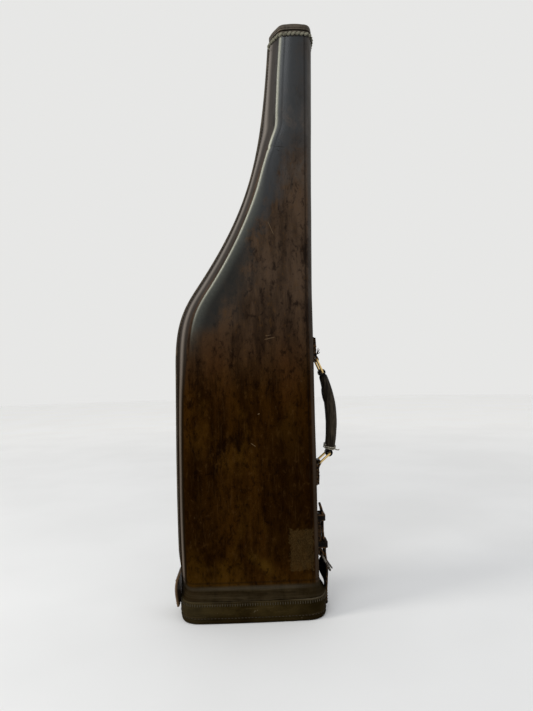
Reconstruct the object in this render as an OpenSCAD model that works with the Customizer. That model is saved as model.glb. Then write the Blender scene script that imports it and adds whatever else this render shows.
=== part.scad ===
// Leg-of-mutton carrying case in block-moulded leather, standing on its hinged end lid.
// X runs towards the spine that carries the handle, the front panel faces -Y, Z is up.
// The origin is the middle of the lid's flat underside.

/* [Overall form] */
// Height from the underside of the lid to the top of the nose cap
total_h = 816; // [700:4:940]
// Width of the body between the curved side and the spine
body_w = 191.5; // [170:0.5:215]
// Depth of the body between the front and the back panel
body_d = 76; // [66:1:90]
// Width of the nose at its top
nose_w = 59.5; // [50:0.5:72]
// Depth of the nose at its top
nose_d = 58; // [50:1:70]
// How far the nose leans out past the line of the spine
nose_lean = 8; // [0:0.5:16]
// Height at which the curved side starts to turn in
shoulder_z = 332; // [280:4:368]
// Height of the steepest place on the shoulder
neck_z = 447; // [423:4:499]
// How far the shoulder has come in at its steepest place
shoulder_in = 30.5; // [20:0.5:45]
// Sideways run for each unit of height at the steepest place
shoulder_slope = 0.68; // [0.5:0.02:0.85]

/* [Moulded leather] */
// Thickness of the panel leather
wall = 4.5; // [3:0.25:6]
// How far the curved side draws in from its seam to the face
side_draft = 11; // [6:0.5:16]
// How much further it draws in where the shoulder rolls over
shoulder_draft = 7.5; // [3:0.5:10]
// Reach of the shoulder's roll above and below its middle
shoulder_reach = 90; // [60:5:120]
// How far the spine draws in from its flat to the face
spine_draft = 4; // [1:0.5:8]
// Half the width of the flat along the middle of the spine
spine_flat = 13; // [12.5:0.25:15]
// Reach of the rolled edge on each side of its corner
edge_roll = 9; // [5:0.5:12]
// Crown of the faces
face_crown = 1.2; // [0:0.1:3]
// Thickness of the welt sewn into the seam of the curved side
welt_t = 3; // [1.5:0.25:4]
// How far the welt stands proud of the seam
welt_proud = 2.4; // [0.5:0.1:4]
// Height of the nose cap above the panels
cap_h = 16; // [11:0.5:20]
// Half the height of the whipped edge under the nose cap
whip_half_h = 2.8; // [2:0.2:4]
// How far the whipped edge stands out
whip_proud = 2.6; // [1.5:0.1:4]

/* [Mouth and lid] */
// Width of the lid
lid_w = 198; // [192:0.5:204]
// Depth of the lid
lid_d = 84; // [78:1:94]
// Height of the lid
lid_h = 29; // [24:1:36]
// Thickness of the lid's wall
lid_wall_t = 4.5; // [3:0.25:6]
// Thickness of the sole leather under the lid
sole_t = 5.5; // [4:0.5:8]
// Bevel round the lower edge of the sole
sole_bevel = 2.5; // [1:0.25:3.5]
// Reach of the rounded corners of the lid
lid_corner = 26; // [18:1:28]
// How far the lid's ends draw in from the middle to the corners
lid_end_draft = 5; // [2:0.5:8]
// How far the spine stands back from the lid's end
spine_setback = 8; // [5:0.5:11]
// Height of the flared mouth above the lid
flare_h = 19; // [12:1:26]
// How far the lid's rim stands proud of the mouth
rim_step = 0.8; // [0.3:0.1:1.5]
// How far the inner lip reaches down into the lid
lip_drop = 15; // [8:1:17]
// Thickness of the inner lip
lip_t = 3; // [2:0.25:4]
// Room between the inner lip and the lid's wall
lip_clear = 1.6; // [1.2:0.1:2.5]
// Thickness of the pad inside the lid
lid_pad_t = 4; // [2:0.5:6]
// Width of the leather hinge
hinge_w = 54; // [40:1:60]
// Thickness of the leather hinge
hinge_t = 3; // [2:0.25:4]
// Height on the body to which the leather hinge is sewn
hinge_top_z = 55; // [52:1:64]
// How far the leather hinge bows out
hinge_bow = 3.5; // [2.5:0.5:8]

/* [Inside] */
// Thickness of the baize lining
lining_t = 1.6; // [1:0.1:3]
// Width of the barrel space between the lining and the divider
barrel_space = 50; // [44:1:54]
// Thickness of the divider board
board_t = 5; // [3:0.5:8]
// Thickness of the baize over the divider board
board_cover_t = 1; // [0.6:0.1:2]
// Thickness of the felt pad in the nose
nose_pad_t = 15; // [8:1:25]

/* [Handle] */
// Height of the upper handle bar
handle_top_z = 345; // [330:1:385]
// Distance between the eyes of the grip
grip_len = 113; // [94:0.5:130]
// How much further apart the two bars on the spine are than the eyes of the grip
handle_spare = 31; // [27:0.5:33]
// Distance between the two bars of a loop
loop_len = 20; // [19:0.5:22]
// Lean of the upper loop as the handle hangs
hang_angle = 24; // [22:0.5:30]
// Rise of the grip's arch
grip_rise = 6; // [3:0.5:10]
// Thickness of the grip in its middle
grip_mid_t = 17; // [14:0.5:21]
// Width of the grip in its middle
grip_mid_w = 23; // [20:0.5:23.5]
// Thickness of the grip at its ends
grip_end_t = 12; // [9:0.5:12.5]
// Width of the grip at its ends
grip_end_w = 19; // [17:0.5:20]
// Thickness of the steel core of the grip
core_t = 2.2; // [1.5:0.1:3]
// Width of the steel core of the grip
core_w = 14; // [10:0.5:16]
// Width of the handle chapes
handle_chape_w = 19; // [18:0.5:24]
// Length of the handle chapes beyond the bar
handle_chape_len = 32; // [26:1:40]
// Radius of the wire of the loops and the buckle
wire_r = 1.6; // [1.3:0.05:2]
// Room beside the leather inside a wire loop
wire_room = 2.5; // [1.5:0.1:5]

/* [Closing strap] */
// Width of the closing strap
strap_w = 19; // [15:0.5:20]
// Thickness of the closing strap
strap_t = 3; // [2:0.25:3.5]
// Height of the strap's tip
strap_tip_z = 144; // [137:1:160]
// Height of the buckle's bar
buckle_z = 76; // [73:1:80]
// Distance between the two bars of the buckle
buckle_len = 25; // [24:0.5:28]
// Outward tilt of the buckle
buckle_tilt = 27; // [24:0.5:30]
// Radius of the buckle's tongue
tongue_r = 1.3; // [1:0.1:1.6]
// Length of the buckle's chape above the bar
buckle_chape_len = 54; // [50:1:60]
// Thickness of one layer of a chape
chape_t = 2.1; // [1.6:0.1:2.6]
// Height of a strap keeper
keeper_h = 9; // [6:0.5:11]
// Thickness of a strap keeper
keeper_t = 2; // [1.5:0.1:2.6]
// Radius of a rivet's head
rivet_head_r = 3.4; // [2.5:0.1:4]
// Thickness of a rivet's head
rivet_head_t = 1; // [0.6:0.1:1.4]

/* [Hidden] */

// Clearances shared by every seat and pivot
seat_gap = 0.3;
sewn_gap = 0.2;
pivot_clear = 0.05;
slack_clear = 0.75;

// Facets of round pieces
$fn = 48;

// Heights along the body
mouth_z = lid_h + seat_gap;
flare_z = mouth_z + flare_h;
nose_z = total_h - cap_h;

// Lines that the outline is hung from
spine_x = lid_w / 2 - spine_setback;
belly_x = spine_x - body_w;
nose_x = spine_x + nose_lean - nose_w;
neck_x = belly_x + shoulder_in;
nose_slope = 0.08;
belly_swell = 2.2;

// Colours as the photographed leather, thread and metal show them
panel_brown = [0.16, 0.09, 0.05];
edge_brown = [0.33, 0.20, 0.11];
strap_brown = [0.13, 0.08, 0.05];
thread_tan = [0.45, 0.36, 0.24];
baize_red = [0.36, 0.07, 0.07];
board_tan = [0.62, 0.47, 0.30];
brass = [0.72, 0.57, 0.30];
steel = [0.70, 0.69, 0.66];

// Small helpers: blends between values, curves through control points, lists turned round
function blend(a, b, u) = a + (b - a) * u;
function ease(u) = u * u * (3 - 2 * u);
function curve2(a, b, c, u) = (1 - u) * (1 - u) * a + 2 * u * (1 - u) * b + u * u * c;
function curve3(a, b, c, d, u) = blend(curve2(a, b, c, u), curve2(b, c, d, u), u);
function heading3(a, b, c, d, u) = curve2(b - a, c - b, d - c, u);
function turned(list) = [for (i = [len(list) - 1:-1:0]) list[i]];
function polar(r, angle) = r * [cos(angle), sin(angle)];
function through(a, b, c, d, u) = curve3(b, b + (c - a) / 6, c - (d - b) / 6, c, u);

// Outline of the curved side, three curves of [x, z] that meet on a common tangent
lower_side = [[-lid_w / 2, flare_z], [belly_x - belly_swell, blend(flare_z, shoulder_z, 0.35)],
              [belly_x - belly_swell / 4, blend(flare_z, shoulder_z, 0.75)], [belly_x, shoulder_z]];
shoulder_run = neck_z - shoulder_z;
shoulder_side = [[belly_x, shoulder_z], [belly_x, shoulder_z + 0.5 * shoulder_run],
                 [neck_x, neck_z] - 0.3 * shoulder_run * [shoulder_slope, 1], [neck_x, neck_z]];
neck_run = nose_z - neck_z;
nose_hold = 0.472;
neck_side = [[neck_x, neck_z], [neck_x, neck_z] + 0.333 * neck_run * [shoulder_slope, 1],
             [nose_x, nose_z] - nose_hold * neck_run * [nose_slope, 1], [nose_x, nose_z]];

// Line of the spine, depth of the body and draft of its curved side at a height
function rise_to_nose(z, start) = max(0, z - start) / (nose_z - start);
function spine_at(z) = spine_x + nose_lean * pow(rise_to_nose(z, neck_z - 20), 1.3);
function half_depth_at(z) = blend(body_d, nose_d, ease(rise_to_nose(z, shoulder_z))) / 2;
function draft_at(z) =
    side_draft + shoulder_draft * exp(-pow((z - blend(shoulder_z, neck_z, 0.55)) / shoulder_reach, 2));

// A station is one level section: [z, left x, right x, half depth, draft, roll, stretch]
function station_on(side, u) =
    let (p = curve3(side[0], side[1], side[2], side[3], u),
         h = heading3(side[0], side[1], side[2], side[3], u),
         stretch = norm(h) / h[1])
    [p[1], p[0], spine_at(p[1]), half_depth_at(p[1]), draft_at(p[1]) * stretch, edge_roll, stretch];
function lid_station(z) = [z, -lid_w / 2, lid_w / 2, lid_d / 2, lid_end_draft, lid_corner, 1];
function narrowed(s, by) =
    [s[0], s[1] + by * s[6], s[2] - by, s[3] - by, s[4], s[5] - 0.6 * by, s[6]];
flare_station = station_on(lower_side, 0);
mouth_station = narrowed(lid_station(mouth_z), rim_step);
function flared(u) =
    let (s = blend(flare_station, mouth_station, u * u))
    concat([blend(flare_z, mouth_z, u)], [for (i = [1:6]) s[i]]);

flare_steps = 4;
lower_steps = 6;
shoulder_steps = 8;
neck_steps = 15;
flare_stations = [for (k = [flare_steps:-1:1]) flared(k / flare_steps)];
function body_run(lower_n, top_u) =
    concat([for (k = [0:lower_n - 1]) station_on(lower_side, k / lower_n)],
           [for (k = [0:shoulder_steps - 1]) station_on(shoulder_side, k / shoulder_steps)],
           [for (k = [0:neck_steps]) station_on(neck_side, top_u * k / neck_steps)]);
body_stations = body_run(lower_steps, 1);
nose_station = station_on(neck_side, 1);

// Front half of a section, from the seam of the curved side round to the middle of the spine
corner_steps = 4;
face_steps = 4;
side_belly = 1;
function along(from, to, reach) = from + (to - from) * min(0.9, reach / norm(to - from));
function half_ring(s, seam = 0) =
    let (front = -s[3],
         seam_l = [s[1], -seam],
         corner_l = [s[1] + s[4], front],
         flat_r = [s[2], -min(spine_flat, 0.45 * s[3])],
         corner_r = [s[2] - spine_draft, front],
         start_l = along(corner_l, seam_l, s[5]),
         end_l = along(corner_l, corner_r, s[5]),
         start_r = along(corner_r, corner_l, s[5]),
         end_r = along(corner_r, flat_r, s[5]))
    concat([seam_l, (seam_l + start_l) / 2 - [side_belly, 0]],
           [for (k = [0:corner_steps]) curve2(start_l, corner_l, end_l, k / corner_steps)],
           [for (k = [1:face_steps - 1])
               let (u = k / face_steps) blend(end_l, start_r, u) - [0, 4 * face_crown * u * (1 - u)]],
           [for (k = [0:corner_steps]) curve2(start_r, corner_r, end_r, k / corner_steps)],
           [flat_r, [s[2], 0]]);
function whole_ring(s) =
    let (h = half_ring(s), last = len(h) - 1)
    concat(h, [for (i = [last - 1:-1:1]) [h[i][0], -h[i][1]]]);
function lifted(ring, z) = [for (p = ring) [p[0], p[1], z]];

// Triangles between two rows of points, and a skin over rows of closed rings
function quad(a, b, c, d) = [[a, d, c], [a, c, b]];
function wrap(rows, m, base = 0) =
    [for (k = [0:rows - 2], i = [0:m - 1])
        each quad(base + k * m + i, base + k * m + (i + 1) % m,
                  base + (k + 1) * m + (i + 1) % m, base + (k + 1) * m + i)];
function inside_out(faces) = [for (f = faces) turned(f)];
function fan(m, base = 0) = [for (i = [1:m - 2]) [base, base + i, base + i + 1]];
function between(m, a, b) = [for (i = [0:m - 1]) each quad(a + i, b + i, b + (i + 1) % m, a + (i + 1) % m)];
function joined(rings) = [for (r = rings) each r];

// A solid over rings that are each a convex outline
module solid_loft(rings) {
    m = len(rings[0]);
    n = len(rings);
    polyhedron(joined(rings), concat(wrap(n, m), fan(m), inside_out(fan(m, (n - 1) * m))), 2);
}

// A wall between two sets of closed rings, open at both ends
module tube_loft(outer, inner) {
    m = len(outer[0]);
    n = len(outer);
    polyhedron(concat(joined(outer), joined(inner)),
               concat(wrap(n, m), inside_out(wrap(n, m, n * m)), between(m, 0, n * m),
                      inside_out(between(m, (n - 1) * m, (2 * n - 1) * m))), 2);
}

// A trough whose rings run along the outside and back along the inside
module trough_loft(rings) {
    m = len(rings[0]);
    n = len(rings);
    cap = [for (i = [0:m / 2 - 2]) each quad(i, i + 1, m - 2 - i, m - 1 - i)];
    top = [for (f = cap) [for (v = f) v + (n - 1) * m]];
    polyhedron(joined(rings), concat(wrap(n, m), inside_out(cap), top), 2);
}

// An outline of [x, z] points given a width along Y, and one of [y, z] points given a length along X
module across(width) {
    rotate([90, 0, 0]) linear_extrude(width, center = true) children();
}
module outward(length) {
    rotate([90, 0, 90]) linear_extrude(length) children();
}

// Outline of a ribbon of leather that follows a path of [x, z] points
function normal_at(path, i) =
    let (a = path[max(0, i - 1)], b = path[min(len(path) - 1, i + 1)], d = (b - a) / norm(b - a))
    [d[1], -d[0]];
function ribbon(path, t) =
    concat([for (i = [0:len(path) - 1]) path[i] + normal_at(path, i) * t / 2],
           turned([for (i = [0:len(path) - 1]) path[i] - normal_at(path, i) * t / 2]));

// Places of the handle: two bars on the spine, and the eyes of the grip hung between the loops
fold_r = wire_r + pivot_clear + chape_t;
bar_x = spine_x + seat_gap + fold_r;
bar_upper = [bar_x, handle_top_z];
bar_lower = [bar_x, handle_top_z - grip_len - handle_spare];
eye_upper = bar_upper + loop_len * [sin(hang_angle), -cos(hang_angle)];
eye_reach = eye_upper - bar_lower;
eye_along = (loop_len * loop_len - grip_len * grip_len + eye_reach * eye_reach) / (2 * norm(eye_reach));
eye_aside = sqrt(loop_len * loop_len - eye_along * eye_along);
reach_dir = eye_reach / norm(eye_reach);
eye_lower = bar_lower + eye_along * reach_dir + eye_aside * [reach_dir[1], -reach_dir[0]];
lower_angle = atan2(eye_lower[0] - bar_lower[0], eye_lower[1] - bar_lower[1]);

// Arch of the grip through both eyes
arch_r = grip_len * grip_len / (8 * grip_rise) + grip_rise / 2;
grip_dir = (eye_upper - eye_lower) / grip_len;
arch_centre = (eye_upper + eye_lower) / 2 - (arch_r - grip_rise) * [grip_dir[1], -grip_dir[0]];
arch_from = atan2(eye_lower[1] - arch_centre[1], eye_lower[0] - arch_centre[0]);
arch_to = atan2(eye_upper[1] - arch_centre[1], eye_upper[0] - arch_centre[0]);

// Places of the closing strap: it climbs from the lid, behind the buckle's free bar and over its fold
buckle_bar = [bar_x, buckle_z];
free_bar = buckle_bar + buckle_len * [sin(buckle_tilt), -cos(buckle_tilt)];
chape_face_x = spine_x + seat_gap + 2 * chape_t;
strap_lid_x = lid_w / 2 + seat_gap + strap_t / 2;
strap_fold_x = bar_x + fold_r + 1.3 * seat_gap + strap_t / 2;
strap_flat_x = chape_face_x + rivet_head_t + seat_gap + strap_t / 2;
strap_free_x = free_bar[0] - wire_r - 2 * seat_gap - strap_t / 2;
strap_root_z = 8;
tip_run = 14;
tip_dip = 3;
strap_guides = [[strap_lid_x, 0], [strap_lid_x, strap_root_z], [strap_lid_x, lid_h - 6],
                [strap_free_x, free_bar[1]], [strap_fold_x, buckle_z],
                [strap_fold_x - seat_gap, buckle_z + 10], [strap_flat_x, buckle_z + 30],
                [strap_flat_x, strap_tip_z - tip_run], [strap_flat_x - tip_dip, strap_tip_z],
                [strap_flat_x - 2 * tip_dip, strap_tip_z + tip_run]];
strap_steps = 4;
strap_path = concat([for (i = [1:len(strap_guides) - 3], k = [0:strap_steps - 1])
                        through(strap_guides[i - 1], strap_guides[i], strap_guides[i + 1],
                                strap_guides[i + 2], k / strap_steps)],
                    [strap_guides[len(strap_guides) - 2]]);
tongue_lift = asin((wire_r + tongue_r + 0.1) / buckle_len);

// Front half of the body: one block-moulded hide with rolled edges and a flared mouth
module moulded_half() {
    seam = welt_t / 2;
    trough_loft([for (s = concat(flare_stations, body_stations))
        lifted(concat(half_ring(s, seam), turned(half_ring(narrowed(s, wall), seam))), s[0])]);
}

module front_panel() {
    color(panel_brown) moulded_half();
}

module back_panel() {
    color(panel_brown) mirror([0, 1, 0]) moulded_half();
}

// Leather welt in the seam of the curved side, flush under the lid's hinge, up to the whipped edge
module edge_welt() {
    fade_h = 30;
    top_u = 1 - (whip_half_h + 2 * seat_gap) / (3 * nose_hold * neck_run);
    function proud_at(z) = welt_proud * ease(min(1, max(0, (z - hinge_top_z) / fade_h)));
    color(edge_brown)
        solid_loft([for (s = concat(flare_stations, body_run(2 * lower_steps, top_u)))
            let (out = s[1] - proud_at(s[0]) * s[6], in = s[1] + wall * s[6], half = welt_t / 2)
            lifted([[out, -half], [in, -half], [in, half], [out, half]], s[0])]);
}

// Domed end piece sewn over the nose: each level is [share of its height, how far it has drawn in]
module nose_cap() {
    levels = [[0, sewn_gap], [0.2, 0], [0.6, 0], [0.82, 1.6], [0.94, 5], [1, 11]];
    color(edge_brown)
        solid_loft([for (l = levels)
            lifted(whole_ring(narrowed(nose_station, l[1])), nose_z + l[0] * cap_h)]);
}

// Whipped edge that sews the cap to the panels
module nose_whipping() {
    turns = 8;
    seat = sewn_gap + nose_slope * whip_half_h;
    rows = [for (k = [0:turns])
        let (angle = 180 * k / turns)
        lifted(whole_ring(narrowed(nose_station, -seat - whip_proud * sin(angle))),
               nose_z - whip_half_h * cos(angle))];
    m = len(rows[0]);
    color(thread_tan)
        polyhedron(joined(rows), concat(wrap(turns + 1, m), between(m, 0, turns * m)), 2);
}

// Felt pad that the muzzles rest against
module nose_pad() {
    inset = wall + 2 * sewn_gap + lining_t;
    color(baize_red)
        translate([0, 0, nose_z - nose_pad_t])
            linear_extrude(nose_pad_t)
                polygon(whole_ring(narrowed(nose_station, inset + 1)));
}

// Baize lining glued inside the panels
module body_lining() {
    inset = wall + sewn_gap;
    color(baize_red)
        tube_loft([for (s = body_stations) lifted(whole_ring(narrowed(s, inset)), s[0])],
                  [for (s = body_stations) lifted(whole_ring(narrowed(s, inset + lining_t)), s[0])]);
}

// Board that parts the barrels from the stock, in its baize cover
board_low_z = flare_z + 6;
board_high_z = neck_z - 20;
board_x = spine_x - wall - sewn_gap - lining_t - barrel_space - board_cover_t - board_t / 2;
function crown_share(u) =
    let (k = floor(u * face_steps) / face_steps, next = k + 1 / face_steps)
    blend(4 * k * (1 - k), 4 * next * (1 - next), (u - k) * face_steps);
function board_half_w(s) =
    let (from = s[1] + s[4] + s[5], to = s[2] - spine_draft - s[5])
    s[3] - wall - sewn_gap - lining_t - seat_gap + face_crown * crown_share((board_x - from) / (to - from));
module board_outline() {
    held = [for (s = body_stations) if (s[0] > board_low_z && s[0] < board_high_z) [board_half_w(s), s[0]]];
    side = concat([[held[0][0], board_low_z]], held, [[held[len(held) - 1][0] - seat_gap, board_high_z]]);
    polygon(concat(side, turned([for (p = side) [-p[0], p[1]]])));
}

module divider_board() {
    color(board_tan) translate([board_x - board_t / 2, 0, 0]) outward(board_t) board_outline();
}

module divider_cover() {
    reach = board_t / 2 + board_cover_t;
    color(baize_red)
        difference() {
            translate([board_x - reach, 0, 0]) outward(2 * reach) board_outline();
            translate([board_x - board_t / 2, -body_d, board_low_z - 1])
                cube([board_t, 2 * body_d, board_high_z - board_low_z + 2]);
        }
}

// Lip inside the mouth that the lid slides over
module mouth_lip() {
    low = narrowed(lid_station(lid_h - lip_drop), lid_wall_t + lip_clear);
    rim = concat([lid_h], [for (i = [1:6]) low[i]]);
    seat = [for (s = flare_stations) if (s[0] > mouth_z + 1) narrowed(s, wall + sewn_gap)];
    levels = concat([low, rim], seat);
    color(strap_brown)
        tube_loft([for (s = levels) lifted(whole_ring(s), s[0])],
                  [for (s = levels) lifted(whole_ring(narrowed(s, lip_t)), s[0])]);
}

// Lid: a wall of leather sewn to a bevelled sole, with a pad inside
module lid_wall() {
    color(panel_brown)
        translate([0, 0, sole_t])
            linear_extrude(lid_h - sole_t)
                difference() {
                    polygon(whole_ring(lid_station(0)));
                    polygon(whole_ring(narrowed(lid_station(0), lid_wall_t)));
                }
}

module lid_sole() {
    function bevelled(half) =
        [[-half, sole_t], [-half, sole_bevel], [sole_bevel - half, 0], [half - sole_bevel, 0],
         [half, sole_bevel], [half, sole_t]];
    color(panel_brown)
        intersection() {
            linear_extrude(sole_t) polygon(whole_ring(lid_station(0)));
            across(lid_d + 2 * face_crown) polygon(bevelled(lid_w / 2));
            translate([-lid_w / 2, 0, 0]) outward(lid_w) polygon(bevelled(lid_d / 2 + face_crown));
        }
}

module lid_pad() {
    color(baize_red)
        translate([0, 0, sole_t])
            linear_extrude(lid_pad_t)
                polygon(whole_ring(narrowed(lid_station(0), lid_wall_t + seat_gap)));
}

// Leather hinge sewn to the body above and to the lid below, bowed out where it bends
module lid_hinge() {
    body_end = [-lid_w / 2 - hinge_t / 2 - 2 * seat_gap, hinge_top_z];
    lid_end = [-lid_w / 2 - hinge_t / 2 - seat_gap, 0.62 * lid_h];
    path = [for (k = [0:10])
        curve3(body_end, body_end - [hinge_bow, 0.2 * hinge_top_z], lid_end - [hinge_bow, -0.6 * lid_h],
               lid_end, k / 10)];
    color(strap_brown) across(hinge_w) polygon(ribbon(path, hinge_t));
}

// Strap sewn to the lid's end, with a slot for the tongue and spare holes above it
module closing_strap() {
    hole_r = 2.2;
    hole_pitch = 18;
    drill_x = spine_x - strap_w;
    drill_len = 3 * strap_w;
    slot_low = buckle_z - 14;
    slot_high = buckle_z - 4.5;
    shoulder = strap_tip_z - 0.7 * strap_w;
    tip = [for (k = [1:7]) [strap_w / 2 * cos(22.5 * k), shoulder + (strap_tip_z - shoulder) * sin(22.5 * k)]];
    depth = 4 * lid_w;
    module hole(z) {
        translate([drill_x, 0, z]) rotate([0, 90, 0]) cylinder(r = hole_r, h = drill_len);
    }
    color(strap_brown)
        difference() {
            intersection() {
                across(2 * strap_w) polygon(ribbon(strap_path, strap_t));
                outward(depth)
                    polygon(concat([[-strap_w / 2, 0], [strap_w / 2, 0], [strap_w / 2, shoulder]], tip,
                                   [[-strap_w / 2, shoulder]]));
            }
            hole(slot_low);
            hole(slot_high);
            translate([drill_x, -hole_r, slot_low]) cube([drill_len, 2 * hole_r, slot_high - slot_low]);
            for (k = [1:3]) hole(slot_high + 6 + k * hole_pitch);
        }
}

// Chape: a strip folded round a bar and laid back on itself, drawn upward from the bar at the origin
module chape(length, width) {
    seat = -fold_r;
    face = seat + 2 * chape_t;
    skive = 10;
    tip_w = 0.3 * width;
    color(strap_brown)
        difference() {
            intersection() {
                across(width)
                    union() {
                        circle(fold_r);
                        polygon([[seat, 0], [fold_r * cos(40), fold_r * sin(40)], [face, 2.4 * fold_r],
                                 [face, length - skive], [seat + chape_t, length], [seat, length]]);
                    }
                translate([-2 * fold_r, 0, 0])
                    outward(4 * fold_r)
                        polygon([[-width / 2, -fold_r], [width / 2, -fold_r], [width / 2, length - skive],
                                 [tip_w, length], [-tip_w, length], [-width / 2, length - skive]]);
            }
            rotate([90, 0, 0]) cylinder(r = wire_r + pivot_clear, h = 2 * width, center = true);
        }
}

module at(place) {
    translate([place[0], 0, place[1]]) children();
}

module handle_chape_upper() {
    at(bar_upper) chape(handle_chape_len, handle_chape_w);
}

module handle_chape_lower() {
    at(bar_lower) mirror([0, 0, 1]) chape(handle_chape_len, handle_chape_w);
}

// Chape of the buckle, slotted for the tongue's eye and holed for the rivets
tongue_eye_w = 4.4;
rivet_places = [chape_t * 7, chape_t * 7 + 16];
rivet_r = 1.4;
module buckle_chape() {
    slot_w = tongue_eye_w + 2;
    color(strap_brown)
        difference() {
            at(buckle_bar) chape(buckle_chape_len, strap_w);
            at(buckle_bar) translate([-2 * fold_r, -slot_w / 2, -2 * fold_r])
                cube([4 * fold_r, slot_w, 3.6 * fold_r]);
            for (up = rivet_places)
                translate([spine_x, 0, buckle_z + up]) rotate([0, 90, 0]) cylinder(r = rivet_r, h = 20);
        }
}

module buckle_rivets() {
    color(brass)
        for (up = rivet_places)
            translate([0, 0, buckle_z + up])
                rotate([0, 90, 0]) {
                    translate([0, 0, spine_x + seat_gap]) cylinder(r = rivet_r, h = 2 * chape_t);
                    translate([0, 0, chape_face_x]) cylinder(r = rivet_head_r, h = rivet_head_t);
                }
}

// Rectangle of bent wire round leather of the given width: one bar on the Y axis, the other hung below it
module wire_frame(length, leather_w) {
    half_w = leather_w / 2 + wire_room + wire_r;
    bend = wire_room + wire_r - sewn_gap;
    module bar_along_y() {
        rotate([90, 0, 0]) cylinder(r = wire_r, h = 2 * (half_w - bend), center = true);
    }
    module corner() {
        rotate([0, 90, 0]) rotate_extrude(angle = 90) translate([bend, 0]) circle(wire_r);
    }
    bar_along_y();
    translate([0, 0, -length]) bar_along_y();
    for (side = [0, 1]) mirror([0, side, 0]) {
        translate([0, half_w, -length + bend]) cylinder(r = wire_r, h = length - 2 * bend);
        translate([0, half_w - bend, -length + bend]) corner();
        translate([0, half_w - bend, -bend]) mirror([0, 0, 1]) corner();
    }
}

module handle_loop_upper() {
    color(brass) at(bar_upper) rotate([0, -hang_angle, 0]) wire_frame(loop_len, handle_chape_w);
}

module handle_loop_lower() {
    color(brass) at(bar_lower) rotate([0, lower_angle - 180, 0]) wire_frame(loop_len, handle_chape_w);
}

module buckle_frame() {
    color(steel) at(buckle_bar) rotate([0, -buckle_tilt, 0]) wire_frame(buckle_len, strap_w);
}

module buckle_tongue() {
    eye_r = wire_r + pivot_clear + 1.2;
    color(steel)
        at(buckle_bar)
            rotate([0, -buckle_tilt - tongue_lift, 0])
                difference() {
                    union() {
                        rotate([90, 0, 0]) cylinder(r = eye_r, h = tongue_eye_w, center = true);
                        translate([0, 0, -buckle_len - 3]) cylinder(r = tongue_r, h = buckle_len + 3 - wire_r);
                        translate([0, 0, -buckle_len - 3]) sphere(tongue_r);
                    }
                    rotate([90, 0, 0]) cylinder(r = wire_r + pivot_clear, h = 2 * tongue_eye_w, center = true);
                }
}

// Fixed leather loop that stands on the spine and holds the strap down
module keeper(z, strap_x) {
    inside_x = strap_x + strap_t / 2 + seat_gap;
    half_in = strap_w / 2 + 2 * seat_gap;
    foot_x = spine_x + sewn_gap;
    color(strap_brown)
        translate([foot_x, 0, z])
            linear_extrude(keeper_h)
                difference() {
                    translate([0, -half_in - keeper_t])
                        square([inside_x + keeper_t - foot_x, 2 * (half_in + keeper_t)]);
                    translate([-1, -half_in]) square([inside_x - foot_x + 1, 2 * half_in]);
                }
}

module strap_keeper_lower() {
    keeper(buckle_z + 8, strap_fold_x);
}

module strap_keeper_upper() {
    keeper(strap_tip_z - tip_run - keeper_h, strap_flat_x);
}

// Steel core of the grip, curled into an eye at each end
module handle_core() {
    eye_r = wire_r + pivot_clear + 1.8;
    module eye_cut(place, clear) {
        at(place) rotate([90, 0, 0]) cylinder(r = wire_r + clear, h = 3 * core_w, center = true);
    }
    color(steel)
        difference() {
            union() {
                at(arch_centre)
                    rotate([90, 0, 0])
                        rotate([0, 0, arch_from])
                            rotate_extrude(angle = arch_to - arch_from, $fn = 8 * $fn)
                                translate([arch_r - core_t / 2, -core_w / 2]) square([core_t, core_w]);
                for (place = [eye_upper, eye_lower])
                    at(place) rotate([90, 0, 0]) cylinder(r = eye_r, h = core_w, center = true);
            }
            eye_cut(eye_upper, pivot_clear);
            eye_cut(eye_lower, slack_clear);
        }
}

// Leather of the grip, sewn round the core and swelling towards the middle
module handle_grip() {
    rings = 12;
    sides = 16;
    bare = 4 / arch_r * 180 / PI;
    slot = [core_t / 2 + sewn_gap, core_w / 2 + sewn_gap];
    function placed(angle, off, y) =
        let (p = arch_centre + polar(arch_r + off, angle)) [p[0], y, p[1]];
    function swell(u) = sin(180 * u);
    corners = [[1, -1], [1, 1], [-1, 1], [-1, -1], [1, -1]];
    function outside(u, angle) =
        let (t = blend(grip_end_t, grip_mid_t, swell(u)) / 2, w = blend(grip_end_w, grip_mid_w, swell(u)) / 2)
        [for (i = [0:sides - 1]) let (a = 360 * i / sides - 45) placed(angle, t * cos(a), w * sin(a))];
    function channel(angle) =
        [for (k = [0:3], i = [0:sides / 4 - 1])
            let (c = blend(corners[k], corners[k + 1], 4 * i / sides))
            placed(angle, slot[0] * c[0], slot[1] * c[1])];
    spots = [for (k = [0:rings]) k / rings];
    function angle_at(u) = blend(arch_from + bare, arch_to - bare, u);
    color(strap_brown)
        tube_loft([for (u = spots) outside(u, angle_at(u))], [for (u = spots) channel(angle_at(u))]);
}

front_panel();
back_panel();
edge_welt();
nose_cap();
nose_whipping();
nose_pad();
body_lining();
divider_board();
divider_cover();
mouth_lip();
lid_wall();
lid_sole();
lid_pad();
lid_hinge();
closing_strap();
buckle_chape();
buckle_frame();
buckle_tongue();
buckle_rivets();
strap_keeper_lower();
strap_keeper_upper();
handle_grip();
handle_core();
handle_loop_upper();
handle_loop_lower();
handle_chape_upper();
handle_chape_lower();
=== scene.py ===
"""Looks of a leg-of-mutton carrying case: moulded leather, stitching, straps, handle and lining."""
import math
from functools import reduce
from types import SimpleNamespace

import bmesh
import bpy
import numpy as np
from mathutils import Matrix, Vector


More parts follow.
